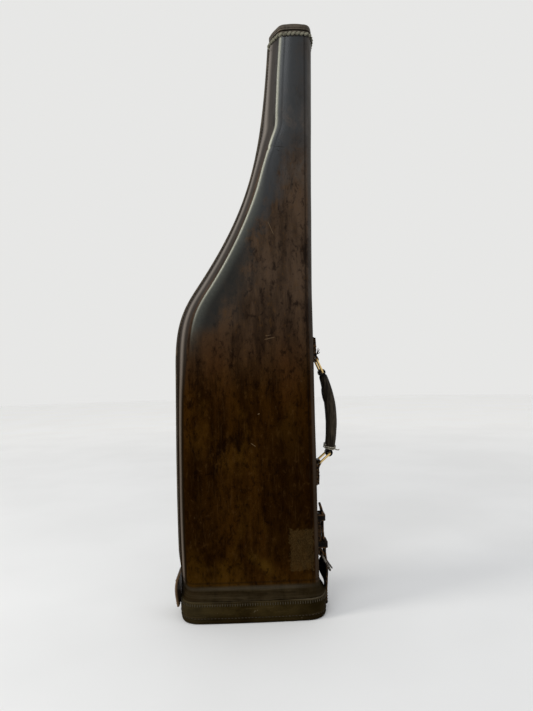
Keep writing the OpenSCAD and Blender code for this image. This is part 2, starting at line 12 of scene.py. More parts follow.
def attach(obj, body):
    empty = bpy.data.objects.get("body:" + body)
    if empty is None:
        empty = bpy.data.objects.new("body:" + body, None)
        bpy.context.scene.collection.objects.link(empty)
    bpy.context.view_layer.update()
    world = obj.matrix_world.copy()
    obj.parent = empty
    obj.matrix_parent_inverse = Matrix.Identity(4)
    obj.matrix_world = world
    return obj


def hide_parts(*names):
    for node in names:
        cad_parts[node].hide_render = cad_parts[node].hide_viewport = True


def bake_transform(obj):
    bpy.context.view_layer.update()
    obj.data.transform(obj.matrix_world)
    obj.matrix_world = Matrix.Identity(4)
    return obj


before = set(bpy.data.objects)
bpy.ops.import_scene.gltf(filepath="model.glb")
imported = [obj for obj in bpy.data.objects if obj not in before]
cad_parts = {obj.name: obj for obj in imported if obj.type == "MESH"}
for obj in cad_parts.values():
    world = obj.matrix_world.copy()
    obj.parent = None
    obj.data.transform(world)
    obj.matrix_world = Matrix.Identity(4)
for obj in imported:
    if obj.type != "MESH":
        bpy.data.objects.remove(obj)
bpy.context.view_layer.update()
MM = 0.001

# Sizes in millimetres, the same as in the part's source
TOTAL_H = 816.0
BODY_W = 191.5
BODY_D = 76.0
NOSE_W = 59.5
NOSE_D = 58.0
NOSE_LEAN = 8.0
SHOULDER_Z = 332.0
NECK_Z = 447.0
SHOULDER_IN = 30.5
SHOULDER_SLOPE = 0.68
WALL = 4.5
SIDE_DRAFT = 11.0
SHOULDER_DRAFT = 7.5
SHOULDER_REACH = 90.0
SPINE_DRAFT = 4.0
SPINE_FLAT = 13.0
EDGE_ROLL = 9.0
FACE_CROWN = 1.2
WELT_T = 3.0
WELT_PROUD = 2.4
CAP_H = 16.0
WHIP_HALF_H = 2.8
WHIP_PROUD = 2.6
LID_W = 198.0
LID_D = 84.0
LID_H = 29.0
LID_WALL_T = 4.5
SOLE_T = 5.5
LID_CORNER = 26.0
LID_END_DRAFT = 5.0
SPINE_SETBACK = 8.0
FLARE_H = 19.0
RIM_STEP = 0.8
LIP_DROP = 15.0
LIP_T = 3.0
LIP_CLEAR = 1.6
LID_PAD_T = 4.0
HINGE_W = 54.0
HINGE_T = 3.0
HINGE_TOP_Z = 55.0
HINGE_BOW = 3.5
LINING_T = 1.6
BARREL_SPACE = 50.0
BOARD_T = 5.0
BOARD_COVER_T = 1.0
NOSE_PAD_T = 15.0
HANDLE_TOP_Z = 345.0
GRIP_LEN = 113.0
HANDLE_SPARE = 31.0
LOOP_LEN = 20.0
HANG_ANGLE = math.radians(24)
GRIP_RISE = 6.0
GRIP_MID_T = 17.0
GRIP_MID_W = 23.0
GRIP_END_T = 12.0
GRIP_END_W = 19.0
HANDLE_CHAPE_W = 19.0
HANDLE_CHAPE_LEN = 32.0
WIRE_R = 1.6
WIRE_ROOM = 2.5
STRAP_W = 19.0
STRAP_T = 3.0
STRAP_TIP_Z = 144.0
BUCKLE_Z = 76.0
BUCKLE_LEN = 25.0
BUCKLE_TILT = math.radians(27)
TONGUE_R = 1.3
TONGUE_EYE_W = 4.4
BUCKLE_CHAPE_LEN = 54.0
CHAPE_T = 2.1
KEEPER_H = 9.0
KEEPER_T = 2.0
RIVET_HEAD_R = 3.4
RIVET_HEAD_T = 1.0

# Forms that the scene has beyond the part's source
RIDGE_SHIFT_LOW = 4.0
RIDGE_SHIFT_MID = 1.5
RIDGE_SHIFT_HIGH = 2.4
RIDGE_STEP = 2.7
RIDGE_KINK = 3.2
NICK_Z = 645.0
NICK_DEEP = 1.6
GRIP_COVER_BOW = 1.6
STRAP_TWIST = 8.0

# Relief across the ridge: height of each bell, its place towards the face, and its spread
RIDGE_BEAD = (0.6, 0, 2.4)
RIDGE_HOLLOW = (-0.9, -9, 5)
RIDGE_SWELL = (0.4, -23, 7)
RELIEF_FROM_Z, RELIEF_RUN = 320, 110
# Where the painted highlight along the ridge starts, and the run over which it grows
RIDGE_HIGHLIGHT_FROM_Z, RIDGE_HIGHLIGHT_RUN = 365, 105

# Stitches: the pitch of a row, and the length and radius of one stitch
SEAM_PITCH, SEAM_STITCH = 4.6, (3.3, 0.62)
SEAM_IN, SEAM_STAND = 3.6, 0.45
RIM_PITCH, RIM_STITCH = 3.3, (4.4, 0.55)
SOLE_PITCH, SOLE_STITCH = 4.4, (3.3, 0.5)
CHAPE_PITCH, CHAPE_STITCH = 3.4, (2.5, 0.42)
HINGE_STITCH = (4.0, 0.6)
STRAP_ROOT_STITCH = (2.8, 0.45)
WHIP_PITCH, WHIP_R, WHIP_SLANT = 5.9, 1.9, 3.1
WHIP_TAIL_R = 0.55
FRAY_R = 0.95

# Clearances and the lines that the outline hangs from
SEAT_GAP = 0.3
SEWN_GAP = 0.2
PIVOT_CLEAR = 0.05
MOUTH_Z = LID_H + SEAT_GAP
FLARE_Z = MOUTH_Z + FLARE_H
NOSE_Z = TOTAL_H - CAP_H
SPINE_X = LID_W / 2 - SPINE_SETBACK
BELLY_X = SPINE_X - BODY_W
NOSE_X = SPINE_X + NOSE_LEAN - NOSE_W
NECK_X = BELLY_X + SHOULDER_IN
LEAN_FROM_Z = NECK_Z - 20
NOSE_SLOPE = 0.08
BELLY_SWELL = 2.2
LINING_IN = WALL + SEWN_GAP
BOARD_X = SPINE_X - LINING_IN - LINING_T - BARREL_SPACE - BOARD_COVER_T - BOARD_T / 2
FOLD_R = WIRE_R + PIVOT_CLEAR + CHAPE_T
BAR_X = SPINE_X + SEAT_GAP + FOLD_R
HINGE_LOW_Z = 0.62 * LID_H

# How finely the surfaces are cut
FLARE_ROWS = 14
BODY_ROWS = (34, 40, 110)
LINING_ROWS = (20, 16, 44)
SIDE_STEPS = 10
BEND_STEPS = 12
FACE_STEPS = 30
SPINE_STEPS = 5
RIDGE_COLUMN = SIDE_STEPS + BEND_STEPS // 2
STRIP_COLUMNS = 7
SHARP_ANGLE = math.radians(50)

# Directions along the three axes
X_WAY, Y_WAY, Z_WAY = np.eye(3)


# Curves and blends
def blend(a, b, u):
    """Straight mix of two values: a where u is 0 and b where u is 1."""
    return a + (b - a) * u


def ease(u):
    """Step from 0 to 1 that is level at both ends: three times the square less twice the cube."""
    return u * u * (3 - 2 * u)


def climb(value, start, length):
    """Eased step from 0 at the start to 1 a length further on; a negative length steps the other way."""
    return ease(np.clip((value - start) / length, 0, 1))


def bump_at(value, centre, spread):
    """Bell of height 1 at the centre that falls away over the spread."""
    return np.exp(-(((value - centre) / spread) ** 2))


def run(a, b, steps):
    """Evenly spaced numbers from a to b, both ends included."""
    return np.linspace(a, b, steps)


def full_turn(steps):
    """Evenly spaced angles round one turn, without the last, which is the first again."""
    return run(0, 2 * np.pi, steps + 1)[:-1]


def quarter_turn(steps):
    """Evenly spaced angles from 0 to a right angle."""
    return run(0, np.pi / 2, steps)


def points(*axes):
    """Points from their coordinates, which are spread over one another to a common shape."""
    return np.stack(np.broadcast_arrays(*axes), -1)


def unit(vectors):
    """Vectors of length 1 with the same directions."""
    return vectors / np.maximum(np.linalg.norm(vectors, axis=-1, keepdims=True), 1e-9)


def cubic(controls, u):
    """Cubic curve over four control points, and its heading, at each u."""
    a, b, c, d = (np.asarray(p, float) for p in controls)
    u = np.asarray(u, float)[:, None]
    v = 1 - u
    place = a * v**3 + 3 * b * u * v**2 + 3 * c * u**2 * v + d * u**3
    heading = (b - a) * v**2 + 2 * (c - b) * u * v + (d - c) * u**2
    return place, heading


def curve(controls, steps):
    """Places at even steps along a cubic curve, both ends included."""
    return cubic(controls, run(0, 1, steps))[0]


def smooth_through(guides, steps):
    """Curve through the inner guide points: cubics whose tangents come from each point's two neighbours."""
    g = np.asarray(guides, float)
    spans = zip(g[:-3], g[1:-2], g[2:-1], g[3:])
    parts = [curve((b, b + (c - a) / 6, c - (d - b) / 6, c), steps + 1)[:-1] for a, b, c, d in spans]
    return np.concatenate([*parts, g[-2:-1]])


def headings(path):
    """Unit direction of a path at each of its points."""
    return unit(np.gradient(path, axis=0))


def evenly(path, pitch, closed=False):
    """Points at an even pitch along a path, from its summed length, and the way the path runs there."""
    if closed:
        path = np.concatenate([path, path[:1]])
    far = np.concatenate([[0], np.cumsum(np.linalg.norm(np.diff(path, axis=0), axis=1))])
    count = max(2, int(far[-1] / pitch))
    spots = (np.arange(count) + 0.5) * far[-1] / count
    at = points(*(np.interp(spots, far, axis) for axis in path.T))
    ahead = points(*(np.interp(spots + 0.5, far, axis) for axis in path.T))
    return at, unit(ahead - at)


# Sections of the body: each is one row of numbers, in these columns
HEIGHT, LEFT, RIGHT, HALF_DEPTH, DRAFT, ROLL, STRETCH = range(7)

# The curved side of the outline: three cubics, each with four places of x and z
SHOULDER_RUN = NECK_Z - SHOULDER_Z
NECK_RUN = NOSE_Z - NECK_Z
LOWER_SIDE = [[-LID_W / 2, FLARE_Z], [BELLY_X - BELLY_SWELL, blend(FLARE_Z, SHOULDER_Z, 0.35)],
              [BELLY_X - BELLY_SWELL / 4, blend(FLARE_Z, SHOULDER_Z, 0.75)], [BELLY_X, SHOULDER_Z]]
SHOULDER_SIDE = [[BELLY_X, SHOULDER_Z], [BELLY_X, SHOULDER_Z + 0.5 * SHOULDER_RUN],
                 [NECK_X - 0.3 * SHOULDER_RUN * SHOULDER_SLOPE, NECK_Z - 0.3 * SHOULDER_RUN],
                 [NECK_X, NECK_Z]]
NECK_SIDE = [[NECK_X, NECK_Z], [NECK_X + 0.333 * NECK_RUN * SHOULDER_SLOPE, NECK_Z + 0.333 * NECK_RUN],
             [NOSE_X - 0.472 * NECK_RUN * NOSE_SLOPE, NOSE_Z - 0.472 * NECK_RUN], [NOSE_X, NOSE_Z]]


def ridge_shift(z):
    """How much further in the ridge lies than in the source: steps by the neck and bells by the nick."""
    low = RIDGE_SHIFT_LOW * climb(z, LEAN_FROM_Z, -90)
    middle = RIDGE_SHIFT_MID * bump_at(z, NECK_Z + 12, 40)
    high = RIDGE_SHIFT_HIGH * climb(z, NECK_Z, 70)
    kink = RIDGE_KINK * bump_at(z, NICK_Z + 40, 45)
    step = RIDGE_STEP * (bump_at(z, NICK_Z + 25, 16) - 0.45 * bump_at(z, NICK_Z - 33, 24))
    return low + middle + high + kink + step


def stations_on(side, u):
    """Sections along one curve of the outline; the draft grows where the outline slants."""
    place, heading = cubic(side, u)
    x, z = place.T
    stretch = np.linalg.norm(heading, axis=1) / heading[:, 1]
    lean = NOSE_LEAN * (np.maximum(0, z - LEAN_FROM_Z) / (NOSE_Z - LEAN_FROM_Z)) ** 1.3
    rise = np.maximum(0, z - SHOULDER_Z) / (NOSE_Z - SHOULDER_Z)
    half_depth = blend(BODY_D, NOSE_D, ease(rise)) / 2
    draft = SIDE_DRAFT + SHOULDER_DRAFT * bump_at(z, blend(SHOULDER_Z, NECK_Z, 0.55), SHOULDER_REACH)
    draft += ridge_shift(z)
    return points(z, x, SPINE_X + lean, half_depth, draft * stretch, EDGE_ROLL, stretch)


def lid_stations(z):
    """Sections of the lid's outside, the same at every height."""
    return points(np.asarray(z, float), -LID_W / 2, LID_W / 2, LID_D / 2, LID_END_DRAFT, LID_CORNER, 1)


def narrowed(stations, by):
    """Sections drawn in all round by a distance, one for all or one for each; the rolls tighten with it."""
    s = stations.copy()
    s[:, LEFT] += by * s[:, STRETCH]
    s[:, RIGHT] -= by
    s[:, HALF_DEPTH] -= by
    s[:, ROLL] -= 0.6 * np.asarray(by)
    return s


def flare_stations(steps):
    """Sections from the lid's rim up to the body, widening with the square of the way down."""
    top = stations_on(LOWER_SIDE, [0.0])
    mouth = narrowed(lid_stations([MOUTH_Z]), RIM_STEP)
    u = run(1, 0, steps + 1)[:-1, None]
    s = blend(top, mouth, u**2)
    s[:, HEIGHT] = blend(FLARE_Z, MOUTH_Z, u[:, 0])
    return s


def body_stations(lower, shoulder, neck, top=1.0):
    """Sections up the three curves of the outline, so many on each, to a share of the last one."""
    return np.concatenate([stations_on(LOWER_SIDE, run(0, 1, lower + 1)[:-1]),
                           stations_on(SHOULDER_SIDE, run(0, 1, shoulder + 1)[:-1]),
                           stations_on(NECK_SIDE, run(0, top, neck + 1))])


def toward(corner, end, reach):
    """Points a reach away from the corners on the way to the ends, at most nine tenths of it."""
    way = end - corner
    share = np.minimum(0.9, reach / np.linalg.norm(way, axis=1))
    return corner + way * share[:, None]


def along_line(a, b, t):
    """Points on straight lines from a to b, one line for each section."""
    return a[:, None] + (b - a)[:, None] * t[None, :, None]


def along_bend(a, b, c, t):
    """Points on bends from a to c drawn towards b, weighted by the three terms of a squared sum."""
    t = t[None, :, None]
    return a[:, None] * (1 - t) ** 2 + 2 * b[:, None] * t * (1 - t) + c[:, None] * t**2


def half_ring(s, seam=0.0):
    """Front half of each section: side wall from the seam, a bend, the crowned face, a bend, the spine."""
    front = -s[:, HALF_DEPTH]
    roll = s[:, ROLL]
    seam_l = points(s[:, LEFT], -seam)
    corner_l = points(s[:, LEFT] + s[:, DRAFT], front)
    flat_r = points(s[:, RIGHT], -np.minimum(SPINE_FLAT, 0.45 * s[:, HALF_DEPTH]))
    corner_r = points(s[:, RIGHT] - SPINE_DRAFT, front)
    start_l = toward(corner_l, seam_l, roll)
    end_l = toward(corner_l, corner_r, roll)
    start_r = toward(corner_r, corner_l, roll)
    end_r = toward(corner_r, flat_r, roll)
    t_side = run(0, 1, SIDE_STEPS + 1)[:-1]
    t_bend = run(0, 1, BEND_STEPS + 1)
    t_face = run(0, 1, FACE_STEPS + 1)[1:-1]
    t_spine = run(0, 1, SPINE_STEPS + 1)[1:]
    side = along_line(seam_l, start_l, t_side) - points(np.sin(np.pi * t_side), 0)
    face = along_line(end_l, start_r, t_face) - points(0, 4 * FACE_CROWN * t_face * (1 - t_face))
    return np.concatenate([side, along_bend(start_l, corner_l, end_l, t_bend), face,
                           along_bend(start_r, corner_r, end_r, t_bend),
                           along_line(end_r, flat_r, t_spine),
                           along_line(flat_r, points(s[:, RIGHT], 0), t_spine)], axis=1)


def lifted(rings, z):
    """Level rings of x and y set at their heights."""
    return points(rings[..., 0], rings[..., 1], np.asarray(z, float)[:, None])


def whole_ring(s):
    """Closed sections: the front half and its mirror image behind."""
    front = half_ring(s)
    back = front[:, -2:0:-1] * [1, -1]
    return lifted(np.concatenate([front, back], axis=1), s[:, HEIGHT])


def raised(grid, amount):
    """A grid moved along its outward normals, column direction crossed with row direction."""
    normal = unit(np.cross(np.gradient(grid, axis=1), np.gradient(grid, axis=0)))
    return grid + normal * np.asarray(amount)[..., None]


# Meshes
def grid_faces(rows, cols, wrap_rows, wrap_cols):
    """Four-sided faces between neighbouring points of a grid, and across the ends where it is closed."""
    r, c = np.indices((rows if wrap_rows else rows - 1, cols if wrap_cols else cols - 1)).reshape(2, -1)
    next_r, next_c = (r + 1) % rows, (c + 1) % cols
    return points(r * cols + c, r * cols + next_c, next_r * cols + next_c, next_r * cols + c)


class Skin:
    """Grids of points in millimetres, gathered into one closed mesh with marks that materials can read."""

    def __init__(self):
        self.points = []
        self.faces = []
        self.marks = {"mark": [], "from_ridge": []}
        self.size = 0

    def add(self, grid, wrap_rows=False, wrap_cols=False, mark=0.0, from_ridge=1.0):
        """Adds one grid, or many of the same shape, with the marks of each point."""
        grids = grid if grid.ndim == 4 else grid[None]
        count, rows, cols = grids.shape[:3]
        faces = grid_faces(rows, cols, wrap_rows, wrap_cols)
        start = self.size + np.arange(count)[:, None, None] * rows * cols
        self.points.append(grids.reshape(-1, 3))
        self.faces.append((faces[None] + start).reshape(-1, 4))
        for name, value in (("mark", mark), ("from_ridge", from_ridge)):
            self.marks[name].append(np.broadcast_to(value, grids.shape[:3]).ravel())
        self.size += count * rows * cols
        return self

    def ring(self, grid):
        """Adds a grid closed both ways, such as a bent wire that meets its own end."""
        return self.add(grid, wrap_rows=True, wrap_cols=True)

    def tube(self, grid, mark=0.0):
        """Adds a grid closed round its columns, with each end drawn to a point in its middle."""
        ends = [np.broadcast_to(grid[k].mean(0), grid[k].shape)[None] for k in (0, -1)]
        whole = np.concatenate([ends[0], grid, ends[1]])
        marks = np.broadcast_to(mark, grid.shape[:2])
        return self.add(whole, wrap_cols=True, mark=np.concatenate([marks[:1], marks, marks[-1:]]))

    def wall(self, outer, inner, closed=True, **marks):
        """Adds a wall between an outer and an inner grid, with its rims."""
        for a, b in ((outer[:1], inner[:1]), (outer[-1:], inner[-1:])):
            self.add(np.concatenate([a, b]), wrap_cols=closed)
        if not closed:
            for k in (0, -1):
                self.add(np.stack([outer[:, k], inner[:, k]]))
        self.add(outer, wrap_cols=closed, **marks)
        return self.add(inner, wrap_cols=closed)

    def sew(self, at, along, out, length, radius):
        """Adds a row of stitches."""
        return self.add(stitches(at, along, out, length, radius), wrap_cols=True)

    def made(self, name, finish):
        """The mesh object: doubles merged, faces turned outwards, shaded smooth up to the sharp angle."""
        mesh = bpy.data.meshes.new(name)
        mesh.from_pydata(np.concatenate(self.points) * MM, [], np.concatenate(self.faces))
        for mark, values in self.marks.items():
            layer = mesh.attributes.new(mark, "FLOAT", "POINT")
            layer.data.foreach_set("value", np.concatenate(values).astype(np.float32))
        shape = bmesh.new()
        shape.from_mesh(mesh)
        bmesh.ops.remove_doubles(shape, verts=shape.verts, dist=2e-6)
        bmesh.ops.recalc_face_normals(shape, faces=shape.faces)
        shape.to_mesh(mesh)
        shape.free()
        mesh.shade_smooth()
        mesh.set_sharp_from_angle(angle=SHARP_ANGLE)
        mesh.materials.append(finish.material)
        piece = bpy.data.objects.new(name, mesh)
        bpy.context.scene.collection.objects.link(piece)
        return piece


def stitches(at, along, out, length, radius, rows=7, cols=6):
    """Short threads: each lies along its row, swells from a point at both ends and arches off the hide."""
    along, out = (np.broadcast_to(way, at.shape) for way in (along, out))
    across = np.cross(along, out)
    at, along, out, across = (v[:, None, None] for v in (at, along, out, across))
    t = run(0, 1, rows)[:, None, None]
    turn = full_turn(cols)[:, None]
    thick = radius * np.sin(np.pi * t) ** 0.4
    middle = at + along * (t - 0.5) * length + out * radius * 0.5 * np.sin(np.pi * t)
    return middle + thick * (np.cos(turn) * out + np.sin(turn) * across)


def strip_section(cols, edge_steps=3):
    """Loop round a flat strip as shares of thickness and width, with rounded edges, wide faces first."""
    turn = run(-np.pi / 2, np.pi / 2, edge_steps + 2)[1:-1]
    flat = run(-1, 1, cols)
    face = points(0.5, flat)
    edge = points(0.5 * np.cos(turn + np.pi / 2), 1 + 0.5 * np.cos(turn))
    back = points(-0.5, -flat)
    return np.concatenate([face, edge, back, -edge])


def strip(path, width, thickness, cols=STRIP_COLUMNS, plane="xz"):
    """Leather strip: its section carried along a path in one plane, with its width across that plane."""
    way = headings(path)
    normal = points(way[:, 1], -way[:, 0])
    loop = strip_section(cols)
    half = np.broadcast_to(np.asarray(width, float) / 2, len(path))
    flat = np.clip(loop[:, 1], -1, 1)
    rounding = (loop[:, 1] - flat) * thickness
    over = path[:, None] + normal[:, None] * (loop[:, 0] * thickness)[None, :, None]
    across = (half[:, None] - thickness / 2) * flat + rounding
    if plane == "xz":
        return points(over[..., 0], across, over[..., 1])
    return points(over[..., 0], over[..., 1], across)


def strip_edge_mark(cols=STRIP_COLUMNS):
    """Mark of 1 on the rounded cut edges of a strip and 0 on its faces."""
    return (np.abs(strip_section(cols)[:, 1]) > 0.99).astype(float)


def wire_along(path, across, radius, sides=14, closed=False):
    """Round wire: a circle carried along a path; across is a direction square to the path."""
    ahead = np.roll(path, -1, 0) - np.roll(path, 1, 0) if closed else np.gradient(path, axis=0)
    side = np.broadcast_to(across, path.shape)
    third = np.cross(unit(ahead), side)
    turn = full_turn(sides)[:, None]
    ring = np.cos(turn) * side[:, None] + np.sin(turn) * third[:, None]
    return path[:, None] + np.broadcast_to(radius, len(path))[:, None, None] * ring


# Shader maths
class Value:
    """A shader socket that takes part in Python sums."""

    def __init__(self, nodes, socket):
        self.nodes = nodes
        self.socket = socket

    def maths(self, operation, *others):
        """One node of maths over one or two values."""
        return self.nodes.node("ShaderNodeMath", dict(enumerate(others)), operation=operation)

    # Sums, differences, products and quotients, with another value or a number on either side
    def __add__(self, other):
        return self.maths("ADD", self, other)

    def __sub__(self, other):
        return self.maths("SUBTRACT", self, other)

    def __rsub__(self, other):
        return self.maths("SUBTRACT", other, self)

    def __mul__(self, other):
        return self.maths("MULTIPLY", self, other)

    def __truediv__(self, other):
        return self.maths("DIVIDE", self, other)

    __radd__ = __add__
    __rmul__ = __mul__

    def size(self):
        """The value without its sign."""
        return self.maths("ABSOLUTE", self)

    def root(self):
        """The square root."""
        return self.maths("SQRT", self)

    def most(self, other):
        """The larger of two values."""
        return self.maths("MAXIMUM", self, other)

    def rise(self, low, high):
        """Goes smoothly from 0 at low to 1 at high."""
        inputs = {"Value": self, "From Min": low, "From Max": high}
        return self.nodes.node("ShaderNodeMapRange", inputs, interpolation_type="SMOOTHSTEP")

    def fall(self, low, high):
        """Goes smoothly from 1 at low to 0 at high."""
        return 1 - self.rise(low, high)

    def near(self, centre, spread):
        """1 at the centre, smoothly down to 0 at the spread on both sides."""
        return (self - centre).size().fall(0.0, spread)


class Nodes:
    """The nodes of a material or of the background, and the shader that they end in."""

    def __init__(self, owner, shader):
        owner.use_nodes = True
        self.tree = owner.node_tree
        self.shader = self.tree.nodes[shader]

    def feed(self, socket, value):
        """Links a value to a socket, or sets a constant there; a colour gets its alpha of 1."""
        if isinstance(value, Value):
            self.tree.links.new(value.socket, socket)
        elif socket.type == "RGBA":
            socket.default_value = (*value, 1)
        else:
            socket.default_value = value

    def node(self, kind, inputs, output=0, **settings):
        """A new node of a kind: its settings first, then what goes into it; gives one of its outputs."""
        made = self.tree.nodes.new(kind)
        for name, value in settings.items():
            setattr(made, name, value)
        for key, value in inputs.items():
            self.feed(made.inputs[key], value)
        return Value(self, made.outputs[output])

    def set(self, **inputs):
        """Feeds the shader's inputs, named with underscores for spaces."""
        for name, value in inputs.items():
            self.feed(self.shader.inputs[name.replace("_", " ")], value)
        return self

    def mix(self, share, a, b):
        """Colour a where the share is 0 and colour b where it is 1."""
        return self.node("ShaderNodeMix", {"Factor": share, 6: a, 7: b}, output=2, data_type="RGBA")

    def layered(self, ground, *coats):
        """A ground colour under coats, laid on in turn: each is the share that it covers, and its colour."""
        for share, tone in coats:
            ground = self.mix(share, ground, tone)
        return ground

    def seen(self):
        """1 for rays from the camera, from metal and through glass, 0 for rays that light the object."""
        rays = ("Is Camera Ray", "Is Glossy Ray", "Is Transmission Ray")
        return reduce(Value.most, [self.node("ShaderNodeLightPath", {}, output=ray) for ray in rays])


class Finish(Nodes):
    """One material: a Principled shader with its constants set, and patterns over object coordinates."""

    def __init__(self, name, **constants):
        self.material = bpy.data.materials.new(name)
        super().__init__(self.material, "Principled BSDF")
        self.set(**constants)

    def coordinates(self):
        """Places on the object, in metres."""
        return self.node("ShaderNodeTexCoord", {}, output="Object")

    def axes(self):
        """Object X, Y and Z in metres."""
        split = self.node("ShaderNodeSeparateXYZ", {0: self.coordinates()})
        return [Value(self, split.socket.node.outputs[k]) for k in range(3)]

    def placed(self, stretch, shift=(0, 0, 0)):
        """Object coordinates, each multiplied by its stretch and then moved by its shift."""
        inputs = {"Vector": self.coordinates(), "Scale": stretch, "Location": shift}
        return self.node("ShaderNodeMapping", inputs)

    def noise(self, stretch, detail=4.0, roughness=0.5, distortion=0.0, shift=(0, 0, 0)):
        """Cloudy noise with a frequency per metre for each axis."""
        inputs = {"Vector": self.placed(stretch, shift), "Scale": 1.0, "Detail": detail,
                  "Roughness": roughness, "Distortion": distortion}
        return self.node("ShaderNodeTexNoise", inputs)

    def pores(self, per_metre):
        """Distance from the edges of cells, so many to a metre, like the pores of leather."""
        inputs = {"Vector": self.placed((per_metre,) * 3), "Scale": 1.0}
        return self.node("ShaderNodeTexVoronoi", inputs, feature="DISTANCE_TO_EDGE")

    def mark(self, name="mark"):
        """A mark that the mesh carries at its points."""
        return self.node("ShaderNodeAttribute", {}, output="Fac", attribute_name=name)

    def relief(self, height, distance, strength):
        """Normals bent as by a height of 0 to 1, over a distance in metres."""
        return self.node("ShaderNodeBump", {"Height": height, "Distance": distance, "Strength": strength})


# Leather of the body: places are in metres, and h holds what hide_pattern gives
LABEL_X, LABEL_Z = 0.0655, 0.0915
LABEL_HALF_W, LABEL_HALF_H = 0.0168, 0.0280
LABEL_SOFT_EDGE = 0.0018

# Scratches in millimetres: x and z of the middle, angle in degrees, length and width
SCRAPES = (((29, 374), 12, 16, 0.55), ((27, 378), 8, 9, 0.45), ((4, 232), -35, 9, 0.6),
           ((34, 525), 112, 22, 0.5), ((12, 273), 20, 3, 1.0))
CREASES = (((48, 639), -8, 17, 1.0), ((46, 634), -20, 9, 0.7))


def scratch(h, middle, angle, length, width):
    """Mask of one straight scratch: full along its middle, gone at half its length and at its width."""
    cos, sin = math.cos(math.radians(angle)), math.sin(math.radians(angle))
    dx, dz = h.x - middle[0] * MM, h.z - middle[1] * MM
    along = (dx * cos + dz * sin).size()
    across = (dz * cos - dx * sin).size()
    return along.fall(length * 0.3 * MM, length * 0.5 * MM) * across.fall(0.0, width * MM)


def scratches(h, rows):
    """Mask of several scratches: the strongest one at each place."""
    return reduce(Value.most, [scratch(h, *row) for row in rows])


def hide_pattern(f):
    """What the hide's tones are worked out from: axes, marks, noises of several sizes, and regions."""
    x, y, z = f.axes()
    h = SimpleNamespace(x=x, z=z, ridge=f.mark(), from_ridge=f.mark("from_ridge"))
    h.streaks = f.noise((52, 52, 9), detail=9, roughness=0.66)
    h.blotches = f.noise((24, 24, 15), detail=9, roughness=0.68, distortion=0.3, shift=(3, 1, 2))
    h.stains = f.noise((30, 30, 11), detail=10, roughness=0.72, distortion=0.5, shift=(7, 2, 5))
    h.mottle = f.noise((150, 150, 95), detail=7, roughness=0.72, distortion=0.4, shift=(1, 9, 4))
    h.fibres = f.noise((480, 480, 40), detail=5)
    h.specks = f.noise((330, 330, 330), detail=4, shift=(2, 8, 1))
    h.front = y.fall(-0.030, -0.024)
    h.upper = z.rise(0.285, 0.470)
    h.past_ridge = h.from_ridge.rise(-0.003, 0.0)
    h.rust = h.blotches.rise(0.42, 0.60) * x.rise(0.036, 0.064) * z.rise(0.55, 0.62) * z.fall(0.68, 0.76)
    return h


def hide_ground(f, h):
    """Ground colour of the hide: red-brown and stained low down, greyer and paler towards the nose."""
    x, z = h.x, h.z
    low = f.layered(
        f.mix(h.streaks.rise(0.34, 0.64), (0.0085, 0.0029, 0.0004), (0.0260, 0.0098, 0.0012)),
        (h.blotches.rise(0.46, 0.66) * z.fall(0.20, 0.42) * 0.7, (0.0440, 0.0190, 0.0024)))
    high = f.mix(h.streaks.rise(0.36, 0.64), (0.0250, 0.0146, 0.0082), (0.0610, 0.0375, 0.0225))
    russet = z.near(0.325, 0.080) * x.near(-0.045, 0.030).most(x.near(0.052, 0.028)) * 0.55
    shade_left = x.fall(-0.078, -0.028) * z.fall(0.17, 0.28)
    shade_right = x.rise(0.008, 0.034) * z.fall(0.22, 0.30) * z.rise(0.066, 0.086)
    warm = z.fall(0.075, 0.105) * x.fall(-0.045, 0.000) * h.blotches.rise(0.36, 0.56)
    gold = (z + (x - 0.014) * 0.6).near(0.074, 0.013) * x.near(0.012, 0.026) * h.blotches.rise(0.34, 0.52)
    stain_tone = f.mix(z.rise(0.50, 0.64), (0.0050, 0.0018, 0.0006), (0.0210, 0.0195, 0.0175))
    pits = h.mottle.fall(0.34, 0.50) * (0.72 - 0.35 * z.rise(0.54, 0.64))
    gleam = h.mottle.rise(0.55, 0.68) * (0.30 + 0.20 * h.upper) * z.fall(0.60, 0.70)
    return f.layered(
        f.mix(h.upper, low, high),
        (z.rise(0.58, 0.69) * 0.85, (0.0340, 0.0322, 0.0305)),
        (h.rust * 0.8, (0.0600, 0.0465, 0.0360)),
        (russet * h.streaks.rise(0.34, 0.60), (0.0440, 0.0165, 0.0042)),
        (shade_left.most(shade_right) * 0.60, (0.0060, 0.0020, 0.0003)),
        (warm * 0.45, (0.0480, 0.0215, 0.0020)),
        (gold * 0.55, (0.0620, 0.0320, 0.0046)),
        (h.stains.rise(0.53, 0.64) * 0.88, stain_tone),
        (pits, (0.0036, 0.0013, 0.0005)),
        (gleam, (0.0600, 0.0290, 0.0085)),
        (h.fibres.rise(0.58, 0.76) * 0.26, (0.0560, 0.0290, 0.0105)))


def wear_and_sheen_share(h):
    """Where the hide shows grey wear under a painted sheen: a ragged band inside the ridge, from the
    shoulder up, wider by the nose.
    """
    ragged = h.from_ridge + (h.stains - 0.5) * 0.034 + (h.mottle - 0.5) * 0.020
    reach = 0.012 + 0.040 * h.blotches.rise(0.34, 0.62) + 0.016 * h.z.near(0.425, 0.090)
    reach = reach + 0.022 * h.z.rise(0.585, 0.650)
    above = (h.z + (h.mottle - 0.5) * 0.03).rise(0.375, 0.400)
    return (ragged / reach).fall(0.20, 1.25) * above * h.past_ridge


